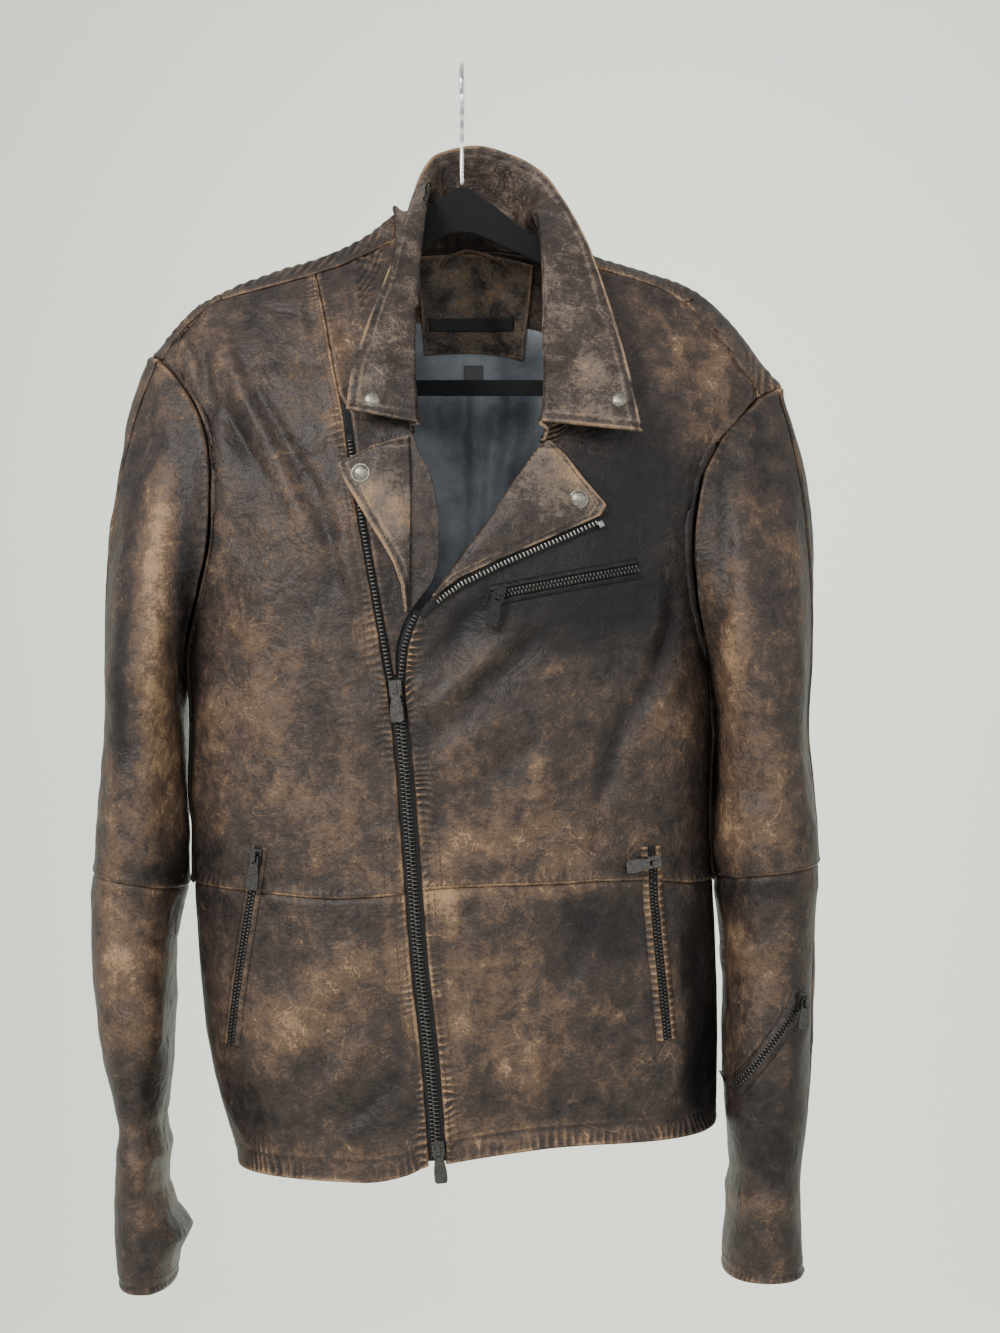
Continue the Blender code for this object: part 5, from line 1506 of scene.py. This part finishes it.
def strip(name, path, offsets, lifts, tree, paint, step=1.6, values=(), nodes=(),
          thick=0.6):
    """Narrow band along a line, with a height for each place across; no tree means the body."""
    line = rounded(path, 6, int(length_of(path) / step))
    _, aside = aside_of(line)
    grid = np.empty((len(line), len(offsets), 3))
    outs = np.empty_like(grid)
    for r, (p, a) in enumerate(zip(line, aside)):
        for c, (off, up) in enumerate(zip(offsets, lifts)):
            x, z = p + a * off
            if tree is None:
                spot = on_body(x, z, -1)
                outs[r, c] = body_normal(spot)
                grid[r, c] = spot + outs[r, c] * up
            else:
                grid[r, c], outs[r, c] = felt(tree, x, z, up)
    zero = np.zeros(grid.shape[:2])
    mesh = grid_mesh(
        name, grid, outs,
        [(key, zero + np.asarray(value)) for key, value in values])
    thicken(put(name, mesh, paint, nodes), thick)


print("probe on the left chest, mm:", felt(FRONT, 60, -330)[0].round(1))

# %% [markdown]
# Teeth and stitches are one small shape set many times over, each with its own three axes.


# %% Many small pieces

def copies(name, shape, places, axes, paint):
    """Many small pieces in one: a shape set at each place, along its own three axes."""
    count, single = len(places), len(shape.verts)
    one = bpy.data.meshes.new(name + "_one")
    shape.to_mesh(one)
    shape.free()
    every = bmesh.new()
    for _ in range(count):
        every.from_mesh(one)
    mesh = bpy.data.meshes.new(name)
    every.to_mesh(mesh)
    every.free()
    bpy.data.meshes.remove(one)
    spots = np.empty(count * single * 3)
    mesh.vertices.foreach_get("co", spots)
    spots = spots.reshape(count, single, 3)
    spots = np.einsum("nvk,nkj->nvj", spots, np.asarray(axes)) + np.asarray(places)[:, None]
    mesh.vertices.foreach_set("co", (spots * MM).ravel())
    mesh.polygons.foreach_set("use_smooth", [True] * len(mesh.polygons))
    mesh.update()
    print(f"{name}: {count} pieces, {len(mesh.vertices)} points")
    return put(name, mesh, paint)


def axes_of(way, out):
    """Axes of a small piece: along, across and out."""
    way = unit(way - out * (way * out).sum(-1, keepdims=True))
    return np.stack([way, np.cross(out, way), out], -2)


def block(x, y, z, edge, segments=1):
    """Small block standing on its foot, with its edges taken off."""
    bm = bmesh.new()
    bmesh.ops.create_cube(bm, size=1)
    bmesh.ops.scale(bm, vec=(x, y, z), verts=bm.verts)
    bmesh.ops.bevel(bm, geom=bm.edges[:], offset=edge, segments=segments, profile=0.5,
                    affect="EDGES", material=-1)
    bmesh.ops.translate(bm, verts=bm.verts, vec=(0, 0, z / 2))
    return bm


# %% [markdown]
# The tapes are black cloth.  The main zip's teeth are dull gunmetal, those along the lapel
# brighter, and the sliders and snaps plated, each rubbed unevenly.

# %% Tape and metals
tape_paint = Paint("zip_tape_cloth", (0.012, 0.012, 0.014), 0.86)
weave = tape_paint.noise(1, 2, 0.5, place=tape_paint.stretched(1500, 1500, 2600))
tape_paint.set("Base Color", weave.between((0.008, 0.008, 0.010), (0.030, 0.029, 0.030)))
tape_paint.bump(weave, 0.0003)


def metal(name, colour, rough, dull, spread):
    """Metal whose plating has worn unevenly."""
    paint = Paint(name, colour, rough, 1.0)
    tone = paint.noise(700, 3, 0.6)
    paint.set("Base Color", tone.ramp(0.35, 0.68).between(dull, colour))
    paint.set("Roughness", (tone - 0.5) * spread + rough)
    return paint.bump(paint.noise(1600, 2, 0.5), 0.00006).made


teeth_dark = metal("teeth_gunmetal", (0.17, 0.155, 0.145), 0.40, (0.09, 0.083, 0.078), 0.2)
teeth_bright = metal("teeth_nickel", (0.58, 0.56, 0.52), 0.30, (0.34, 0.32, 0.29), 0.2)
slider_paint = metal("slider_gunmetal", (0.20, 0.185, 0.175), 0.30, (0.115, 0.105, 0.098), 0.15)
snap_paint = metal("snap_old_nickel", (0.50, 0.46, 0.41), 0.44, (0.27, 0.235, 0.20), 0.2)
slider_black = metal("slider_black", (0.055, 0.053, 0.052), 0.40, (0.030, 0.029, 0.028), 0.15)

# %% [markdown]
# The main zip opens at both ends.  Its two tapes are sewn under the front edges, and each
# carries a row of moulded teeth.  Below the top slider the rows mesh; above it they part,
# one keeping to the wearer's right front, the other running out along the left lapel.

# %% Main zip tapes
HALF = ZIP_WIDE + SEAM_GAP


def seam_line(table, shift, low, high):
    """Line of the flat view along an upright seam, with a point every 4 mm."""
    z = np.linspace(low, high, int(abs(high - low) / 4) + 2)
    return np.stack([look(table, "height", z, "x") + shift, z], -1)


def hem_at(table):
    """Height at which an upright seam meets the hem."""
    z = np.linspace(-805, -700, 400)
    return float(z[np.argmax(z >= look(HEM, "x", look(table, "height", z, "x"), "height"))])


zip_low = hem_at(RIGHT_EDGE) + 3
LAPEL_ZIP = [(-27, -405), (-20, -397.5), (-9, -389.5), (3, -382.5), (28, -370), (53, -359.5),
             (80, -347.8), (95, -341)]
under_edge, on_front = [-1.9, -1.6, -1.5, -1.5, -1.6], [1.6, 1.7, 1.7, 1.7, 1.6]
for name, path, offsets, lifts, tree in (
        ("right_zip_tape", seam_line(RIGHT_EDGE, HALF / 2 - 0.6, zip_low, -277),
         [-3.8, -1.4, 0.3, 1.6, 2.9], under_edge, None),
        ("left_zip_tape", seam_line(LEFT_EDGE, -HALF / 2 + 0.4, zip_low, -402),
         [-2.9, -1.4, 0.3, 1.6, 3.8], under_edge, None),
        ("lapel_zip_tape", LAPEL_ZIP, [-2.4, -1.2, 0, 1.2, 2.4], on_front, FRONT)):
    strip(name, path, offsets, lifts, tree, tape_paint.made, nodes=[name])
    print(name, "length, mm:", round(length_of(path)))

# %% [markdown]
# The teeth stand 2.75 mm apart, and the two rows are half a step out of line so that they mesh.

# %% Main zip teeth
PITCH = 2.75


def teeth(name, path, side, pitch, wide, paint, tree=None, lift=-1.4, start=0.0, tall=1.7,
          thick=1.45):
    """Row of teeth along a line, reaching to one side of it."""
    runs = run_of(path)
    at = np.arange(start, runs[-1], pitch)
    spots = sampled(path, runs, at)
    way, aside = aside_of(spots)
    centres = spots + aside * side * wide / 2
    if tree is None:
        places = on_body(*centres.T, -1, lift)
        outs = body_normal(on_body(*centres.T, -1))
    else:
        places, outs = map(np.array, zip(*(felt(tree, x, z, lift) for x, z in centres)))
    flat = np.stack([way[:, 0], 0 * at, way[:, 1]], -1)
    return copies(name, block(thick, wide, tall, 0.32), places, axes_of(flat, outs), paint)


middle = seam_line(RIGHT_EDGE, HALF + 0.1, zip_low + 4, -458)
for who, side, start in (("right", 1, 0.6), ("left", -1, 1.97)):
    teeth("zip_teeth_" + who, middle + (0.9 * side, 0.0), side, PITCH, 4.5, teeth_dark,
          lift=-1.5, start=start, thick=1.2)
teeth("zip_teeth_right_open", seam_line(RIGHT_EDGE, HALF - 1.2, -447, -279), 1, PITCH, 3.4,
      teeth_dark)
teeth("zip_teeth_left_open", seam_line(LEFT_EDGE, -HALF + 1.4, -447, -404), -1, PITCH, 3.4,
      teeth_dark)
lapel_line = rounded(LAPEL_ZIP, 8, 60)[6:] + (0.0, 2.4)
teeth("zip_teeth_lapel", lapel_line, -1, PITCH, 3.4, teeth_bright, FRONT, lift=2.3, thick=1.3)
stop_place, stop_out = felt(FRONT, 97.5, -341.5, 2.4)
copies("lapel_zip_stop", block(4.2, 5.0, 2.4, 0.7, 2), [stop_place],
       axes_of(np.array([[0.9, 0, 0.42]]), stop_out[None]), teeth_bright)

# %% [markdown]
# The pockets are slits with a zip behind them.  The hide is folded back on both sides, and
# those two lips take the most rubbing of all.  The chest pocket lies below the lapel, in its
# shadow, which is painted on as shade; the hand pockets cross the waist seam; one more zip
# climbs the left forearm.

# %% Pocket zips
POCKETS = dict(
    right=[(-140.5, -566), (-146, -601), (-151, -630), (-156.5, -665), (-162, -708)],
    left=[(134, -566), (135.5, -601), (139.5, -643), (142.5, -672), (145.5, -703)],
    chest=[(22, -391), (50, -385.5), (76, -380.5), (100, -376), (125, -371.3)])
FOREARM = [(194, -741), (204, -728), (213, -716), (222, -704), (231, -691), (238, -679),
           (242, -670)]


LIP_STEP, LIP_PUCKER = 1.2, 5.2


def pocket(path, tree, half, rub, node, lip, gather, deep=0.0):
    """Zip between two folded lips."""
    strip(node, path, [-half, -half / 2, 0, half / 2, half], [0.5, 0.8, 0.9, 0.8, 0.5], tree,
          tape_paint.made, nodes=[node])
    line = rounded(path, 8, 60)[3:]
    for name, side, start in (("_teeth", 1, 0.0), ("_teeth_other", -1, 1.25)):
        teeth(node + name, line, side, 2.5, 2.7, teeth_dark, tree, 0.9, start, 1.3, 1.3)
    phase = np.linspace(0, length_of(path) / LIP_PUCKER, int(length_of(path) / LIP_STEP) + 1)
    # deep darkens the lips; on the chest pocket it is the lapel's painted shadow.
    values = [("wear", [rub, rub * 1.1, rub, rub * 0.7, rub * 0.4, 0.0]), ("dark", deep),
              ("pull", gather * np.array([0, 0.4, 1.0, 1.0, 0.8, 0.4])),
              ("phase", phase[:, None])]
    for name, side in (("_lip_inner", -1), ("_lip_outer", 1)):
        offsets = [side * (half + d) for d in (-1.0, -0.5, 0.3, 1.2, lip * 0.75, lip)]
        strip(node + name, path, offsets, [1.0, 2.0, 2.2, 1.7, 0.8, 0.25], tree, hide,
              LIP_STEP, values, thick=0.9)
    print(node, "slit, mm:", round(length_of(path)))


pocket(POCKETS["right"], FRONT, 3.4, 0.35, "right_pocket_zip", 2.8, 0.15)
pocket(POCKETS["left"], FRONT, 3.7, 0.6, "left_pocket_zip", 4.0, 0.6)
pocket(POCKETS["chest"], FRONT, 4.2, 0.0, "chest_pocket_zip", 3.2, 0.0, 0.9)
pocket(FOREARM, ARMS, 2.4, 0.1, "forearm_zip", 4.2, 0.0, 0.45)

# %% [markdown]
# Snaps are pressed caps: a low dome with a rolled rim.

# %% Snaps
CAP_PROFILE = [(0, 3.3), (1.2, 3.24), (2.5, 3.02), (3.7, 2.6), (4.8, 1.95), (5.6, 1.15),
               (5.9, 0.7), (6.2, 0.85), (6.6, 0.75), (6.8, 0.3), (6.8, -0.6)]


def cap(place, out, name, node):
    """Snap cap spun from its profile of radius and height, in place of its node."""
    bm = bmesh.new()
    for radius, height in CAP_PROFILE:
        bm.verts.new((radius, 0, height))
    bm.verts.ensure_lookup_table()
    edges = [bm.edges.new(pair) for pair in zip(bm.verts[:-1], bm.verts[1:])]
    bmesh.ops.spin(bm, geom=bm.verts[:] + edges, axis=(0, 0, 1), cent=(0, 0, 0), angle=2 * pi,
                   steps=48, use_merge=True)
    bmesh.ops.remove_doubles(bm, verts=bm.verts, dist=0.01)
    rim = [e for e in bm.edges if len(e.link_faces) == 1]
    bmesh.ops.contextual_create(bm, geom=rim)
    bmesh.ops.recalc_face_normals(bm, faces=bm.faces)
    side = unit(np.cross(out, [0, 0, 1.0]))
    axes = np.array([[side, np.cross(out, side), out]])
    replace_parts(copies(name, bm, [place], axes, snap_paint), node)


def middle_of(node):
    """Mean of a node's points, in millimetres."""
    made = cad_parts[node]
    total = sum((made.matrix_world @ v.co for v in made.data.vertices), Vector())
    return total / len(made.data.vertices) / MM


for node in ("right_lapel_snap", "left_lapel_snap", "right_collar_snap", "left_collar_snap"):
    at = middle_of(node)
    spot, out = felt(FLAPS, at.x, at.z, 1.0 if "collar" in node else 0.0)
    cap(spot, out, node + "_cap", node)

# %% [markdown]
# The sliders and their pulls are cast, and keep the frame's own shapes with their edges
# taken off, because the pulls swing.


# %% Sliders and pulls
def repaint(node, paint):
    """One of the frame's own pieces in its finish."""
    node.data.materials.clear()
    node.data.materials.append(paint)


def ease(node, width, segments):
    """Rounded edges on one of the frame's own pieces."""
    edge = node.modifiers.new("eased", "BEVEL")
    edge.width = width * MM
    edge.segments = segments
    edge.limit_method = "ANGLE"


for name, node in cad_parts.items():
    if name.endswith(("_slider", "_pull")):
        repaint(node, slider_black if "chest" in name else slider_paint)
        ease(node, 0.35, 2)
        print(name, "eased")

# %% [markdown]
# The hanger is a flat moulded arm covered in black flock, with a bright wire hook.

# %% Hanger
flock = Paint("hanger_flocking", (0.009, 0.009, 0.010), 0.96, Sheen_Weight=0.06,
              Sheen_Roughness=0.4)
fluff = flock.noise(2600, 2, 0.6)
flock.set("Base Color", fluff.between((0.005, 0.005, 0.006), (0.017, 0.017, 0.019)))
flock.bump(fluff + flock.noise(300, 2, 0.5) * 0.5, 0.0003)
wire = Paint("hook_chrome", (0.78, 0.78, 0.79), 0.12, 1.0)
wire.set("Roughness", wire.noise(60, 2, 0.5) * 0.12 + 0.20)
arms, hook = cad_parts["hanger"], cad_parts["hanger_hook"]
repaint(arms, flock.made)
ease(arms, 1.6, 4)
repaint(hook, wire.made)
bend = hook.modifiers.new("smooth_bend", "SUBSURF")
bend.levels = bend.render_levels = 2
for node in (arms, hook):
    node.data.polygons.foreach_set("use_smooth", [True] * len(node.data.polygons))

# %% [markdown]
# The cloths inside: satin for the lining, a ribbed weave for the label and a pale tape for
# the care tag.

# %% Inner cloths
satin = Paint("lining_satin", (0.030, 0.037, 0.052), 0.34, Sheen_Weight=0.2)
thread = satin.noise(1, 2, 0.5, place=satin.stretched(2600, 2600, 500))
sheen = satin.noise(14, 3, 0.6)
# The satin's light and dark bands are painted sheen and shade of its folds.
folds = (sheen + (thread - 0.5) * 0.3).ramp(0.30, 0.75)
satin.set("Base Color", folds.between((0.135, 0.155, 0.185), (0.50, 0.55, 0.61)))
satin.set("Roughness", thread * 0.16 + 0.28)
satin.bump(thread * 0.5 + satin.noise(60, 3, 0.6, warp=1.0) * 2.0, 0.0006)
woven = Paint("label_woven", (0.014, 0.014, 0.015), 0.6)
rib = woven.noise(1, 1, 0.5, place=woven.stretched(800, 800, 3600))
woven.set("Base Color", rib.between((0.008, 0.008, 0.009), (0.028, 0.028, 0.030)))
woven.bump(rib, 0.0002)
tag_cloth = Paint("care_tag_cloth", (0.16, 0.165, 0.175), 0.7)
tag_weave = tag_cloth.noise(1, 1, 0.5, place=tag_cloth.stretched(2200, 2200, 2200))
tag_cloth.set("Base Color", tag_weave.between((0.10, 0.105, 0.115), (0.22, 0.225, 0.235)))
tag_cloth.bump(tag_weave, 0.0001)
print("inner cloths:", satin.made.name, woven.made.name, tag_cloth.made.name)

# %% [markdown]
# Inside the neck a leather facing backs the top of the back.  The lining is satin, with a
# pleat of ease down its middle so that the back can move.  Both are laid behind the back
# panels by reading those across, level by level.

# %% Lining and neck facing
READ_ACROSS = 110


def inner_part(names, x_range, rows, gap, count, hang_in, shares):
    """Grid behind a share of the laid back panels, set in from their inner faces."""
    stack = []
    for name in names:
        both = np.swapaxes(np.concatenate(LAID[name], -1)[2:-2], 0, 1)
        across_all = np.linspace(0, len(both) - 1, READ_ACROSS)
        stack.append(np.swapaxes(smooth_rows(both, np.arange(len(both)), across_all), 0, 1))
    both = np.concatenate(stack)
    low, high = (int(share * (len(both) - 1)) for share in shares)
    both = both[low:high + 1]
    made = np.empty((len(both), count, 6))
    for r, row in enumerate(both):
        row = row[np.argsort(row[:, 0])]
        left, right = x_range(r / (len(both) - 1))
        xs = np.linspace(max(left, row[0, 0] + 3), min(right, row[-1, 0] - 3), count)
        made[r] = sampled(row, row[:, 0], xs)
    made[..., 3:] = unit(made[..., 3:])
    made = smooth_rows(made, np.arange(len(made)), np.linspace(0, len(made) - 1, rows))
    inset = gap + hang_in(made[..., :3])
    return made[..., :3] - made[..., 3:] * inset[..., None], -unit(made[..., 3:])


def pleated(grid):
    """How far the lining hangs in: a centre pleat closing downwards, and soft folds."""
    x, z = grid[..., 0], grid[..., 2]
    open_share = np.clip((z + 400) / 190, 0, 1)
    left, right = 4 + 0 * z, 6 + 20 * open_share
    pleat = 3.4 * (1 / (1 + np.exp(-(x - left) / 0.9)) - 1 / (1 + np.exp(-(x - right) / 1.3)))
    soft = 3.5 + 2.6 * wander(grid * (1.0, 1.0, 0.35), 34, 2, 5) + 1.0 * wander(grid, 12, 2, 8)
    fold = 5 * np.exp(-((x - 32 - 0.1 * (z + 300)) / 9) ** 2) * np.clip((z + 470) / 150, 0, 1)
    return np.maximum(0.3, pleat + soft + fold) * np.clip((-212 - z) / 26, 0.05, 1)


def lining_sides(share):
    """Left and right of the lining at a share of its height."""
    return -172 + 6 * share, 166 - 6 * share


def facing_sides(share):
    """Left and right of the neck facing at a share of its height."""
    return -30 - 8 * share, 46 + 10 * share


def facing_inset(grid):
    """How far the neck facing stands off the back."""
    return np.maximum(1.4, 2.6 + 0.6 * wander(grid, 16, 2, 3))


grid, out = inner_part(["back_lower", "back_upper"], lining_sides, 150, LEATHER + 1.1, 150,
                       pleated, (0.03, 0.905))
lining = put("back_lining", grid_mesh("back_lining", grid, out), satin.made,
             ["back_lining"])
thicken(lining, 0.5)
sheet_of("back_lining", grid)
grid, out = inner_part(["back_upper"], facing_sides, 60, LEATHER + 1.2, 70, facing_inset,
                       (0.80, 0.985))
away = np.min(list(borders(grid).values()), 0)
values = [("wear", 0.42 + 0.8 * hump(away, 0, 1.6) + 0.3 * wander(grid, 14, 2, 6)),
          ("dark", 0.3 * np.clip((-160 - grid[..., 2]) / 50, 0, 1)), ("pull", 0 * away),
          ("phase", 0 * away)]
facing = put("neck_facing", grid_mesh("neck_facing", grid, out, values), hide_collar_with_painted_sheen,
             ["neck_facing"])
thicken(facing, 1.2)
sheet_of("neck_facing", grid)
LAID["neck_facing"] = grid, out

# %% [markdown]
# On the facing lie a blank woven label and a loop to hang the jacket by, and below it a
# blank care tag, curling a little at its free end.

# %% Label, care tag and loop
INSIDE = tree_of(["neck_facing"])
INSIDE_PROBE_FROM = -60


def on_facing(x, z, lift):
    """Place over the neck facing, or behind it over the back where the facing ends."""
    spot, out, _, _ = INSIDE.ray_cast(Vector((x, INSIDE_PROBE_FROM, z)), Vector((0, 1, 0)))
    if spot is None:
        return on_body(x, z, 1, -LEATHER - 4.6 - lift)
    out = out if out.y < 0 else -out
    return np.array(spot + out * lift)


def small_sheet(name, sides, heights, points, lift, paint, thick, curl=0.0):
    """Small cloth on the facing, its far end lifted by its curl."""
    x, z = np.meshgrid(np.linspace(*sides, points[0]), np.linspace(*heights, points[1]))
    height = lift + curl * ((z - heights[1]) / (heights[0] - heights[1])) ** 2 + 0 * x
    grid = np.stack([[on_facing(*spot) for spot in zip(*row)] for row in zip(x, z, height)])
    mesh = grid_mesh(name, grid, np.tile([0, -1.0, 0], grid.shape[:2] + (1,)))
    thicken(put(name, mesh, paint, [name]), thick)
    sheet_of(name, grid)


small_sheet("neck_label", (-26, 38.5), (-184, -174), (40, 12), 0.9, woven.made,
            0.5)
small_sheet("care_tag", (0.5, 15.5), (-220, -209), (14, 12), 1.6, tag_cloth.made,
            0.3, 1.5)
LOOP_STEPS, BEAD_POINTS = 60, 13
loop_line = rounded([(-17, -136), (-13, -129), (-4, -123.5), (8, -121.5), (20, -123.5),
                     (29, -128), (34, -136)], 6, LOOP_STEPS)
_, aside = aside_of(loop_line)
bead = np.linspace(0, 2 * pi, BEAD_POINTS)[:, None]
grid = np.empty((len(loop_line), BEAD_POINTS, 3))
outs = np.empty_like(grid)
for r, ((x, z), (side_x, side_z)) in enumerate(zip(loop_line, aside)):
    rise = 2.2 + 3.0 * sin(pi * r / LOOP_STEPS)
    centre = on_facing(x, z, rise)
    behind, _, _, _ = FLAPS.ray_cast(Vector((x, MIDDLE_PLANE, z)), Vector((0, 1, 0)))
    if behind:
        centre[1] = min(centre[1], behind.y - COLLAR_THICK - rise)
    outs[r] = np.cos(bead) * (side_x, 0, side_z) + np.sin(bead) * (0, -1.0, 0)
    grid[r] = centre + outs[r] * (1.7, 1.3, 1.7)
loop_values = [("wear", 0.7 + 0 * grid[..., 0]), ("dark", 0.1 + 0 * grid[..., 0])]
put("hanging_loop", grid_mesh("hanging_loop", grid, outs, loop_values), hide,
    ["hanging_loop"])
print("hanging loop, mm:", round(length_of(loop_line)))

# %% [markdown]
# Thread last.  Every lapped seam and turned edge is topstitched a few millimetres in, about
# three stitches to the centimetre, in thread that has darkened with the hide.

# %% Stitching
STITCH = 3.2
thread_paint = Paint("waxed_thread", (0.050, 0.034, 0.024), 0.6)
ply = thread_paint.noise(1500, 2, 0.5)
thread_paint.set("Base Color", ply.between((0.022, 0.015, 0.011), (0.120, 0.082, 0.052)))
thread_paint.bump(ply, 0.0001)
THREAD = []


def stitch_row(name, border, inset):
    """Line of stitches a little in from one border of a laid panel."""
    grid, out = LAID[name]
    if border in ("first", "last"):
        grid, out = np.swapaxes(grid, 0, 1), np.swapaxes(out, 0, 1)
    if border in ("top", "last"):
        grid, out = grid[::-1], out[::-1]
    deep = np.cumsum(np.linalg.norm(np.diff(grid, axis=0), axis=-1), 0)
    row = int(np.argmax(deep.mean(1) >= inset)) + 1
    before = deep.mean(1)[row - 2] if row > 1 else 0.0
    f = (inset - before) / max(0.01, deep.mean(1)[row - 1] - before)
    line = grid[row - 1] * (1 - f) + grid[row] * f
    runs = run_of(line)
    at = np.arange(STITCH / 2, runs[-1], STITCH)
    outs = unit(sampled(out[row], runs, at))
    ways = unit(sampled(np.gradient(line, runs, axis=0), runs, at))
    THREAD.append((sampled(line, runs, at) + outs * 0.02, axes_of(ways, outs)))


WAIST_ROW, HEM_ROW = 3.0, 15.0
ROWS = dict(front_upper=(("first", 4.2), ("first", 9.6), ("bottom", WAIST_ROW)),
            front_lower=(("first", 4.2), ("first", 9.6), ("bottom", HEM_ROW)),
            shoulder_band=(("first", 2.6), ("last", 2.6), ("bottom", 2.2)),
            sleeve_upper_front=(("bottom", 6.2), ("top", 3.0)),
            sleeve_upper_outer=(("bottom", 6.2), ("top", 3.0)),
            sleeve_forearm_front=(("top", 11.0),), sleeve_forearm_outer=(("top", 11.0),),
            lapel=(("bottom", 4.4), ("last", 4.4)))
for part, rows in ROWS.items():
    for border, inset in rows:
        stitch_row("right_" + part, border, inset)
        stitch_row("left_" + part, border, inset)
for border in ("top", "first", "last"):
    stitch_row("collar", border, 5.0)
stitch_row("back_upper", "bottom", WAIST_ROW)
stitch_row("back_lower", "bottom", HEM_ROW)
stitch = bmesh.new()
bmesh.ops.create_cone(stitch, cap_ends=True, segments=6, radius1=0.30, radius2=0.30, depth=2.3)
bmesh.ops.rotate(stitch, verts=stitch.verts, cent=(0, 0, 0),
                 matrix=Matrix.Rotation(pi / 2, 3, "Y"))
ends = [e for e in stitch.edges if abs(e.verts[0].co.x - e.verts[1].co.x) < 0.01]
bmesh.ops.bevel(stitch, geom=ends, offset=0.2, segments=1, profile=0.5, affect="EDGES",
                material=-1)
places, axes = (np.concatenate(part) for part in zip(*THREAD))
copies("topstitching", stitch, places, axes, thread_paint.made)

# %% [markdown]
# Every sheet states its cut: how wide and long its piece of hide or cloth was, and its
# area, measured along the laid panel.  The last lines print the box around everything made.

# %% Cuts and close
low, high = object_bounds()
print("made box, m:", [round(v, 4) for v in (*low, *high)])
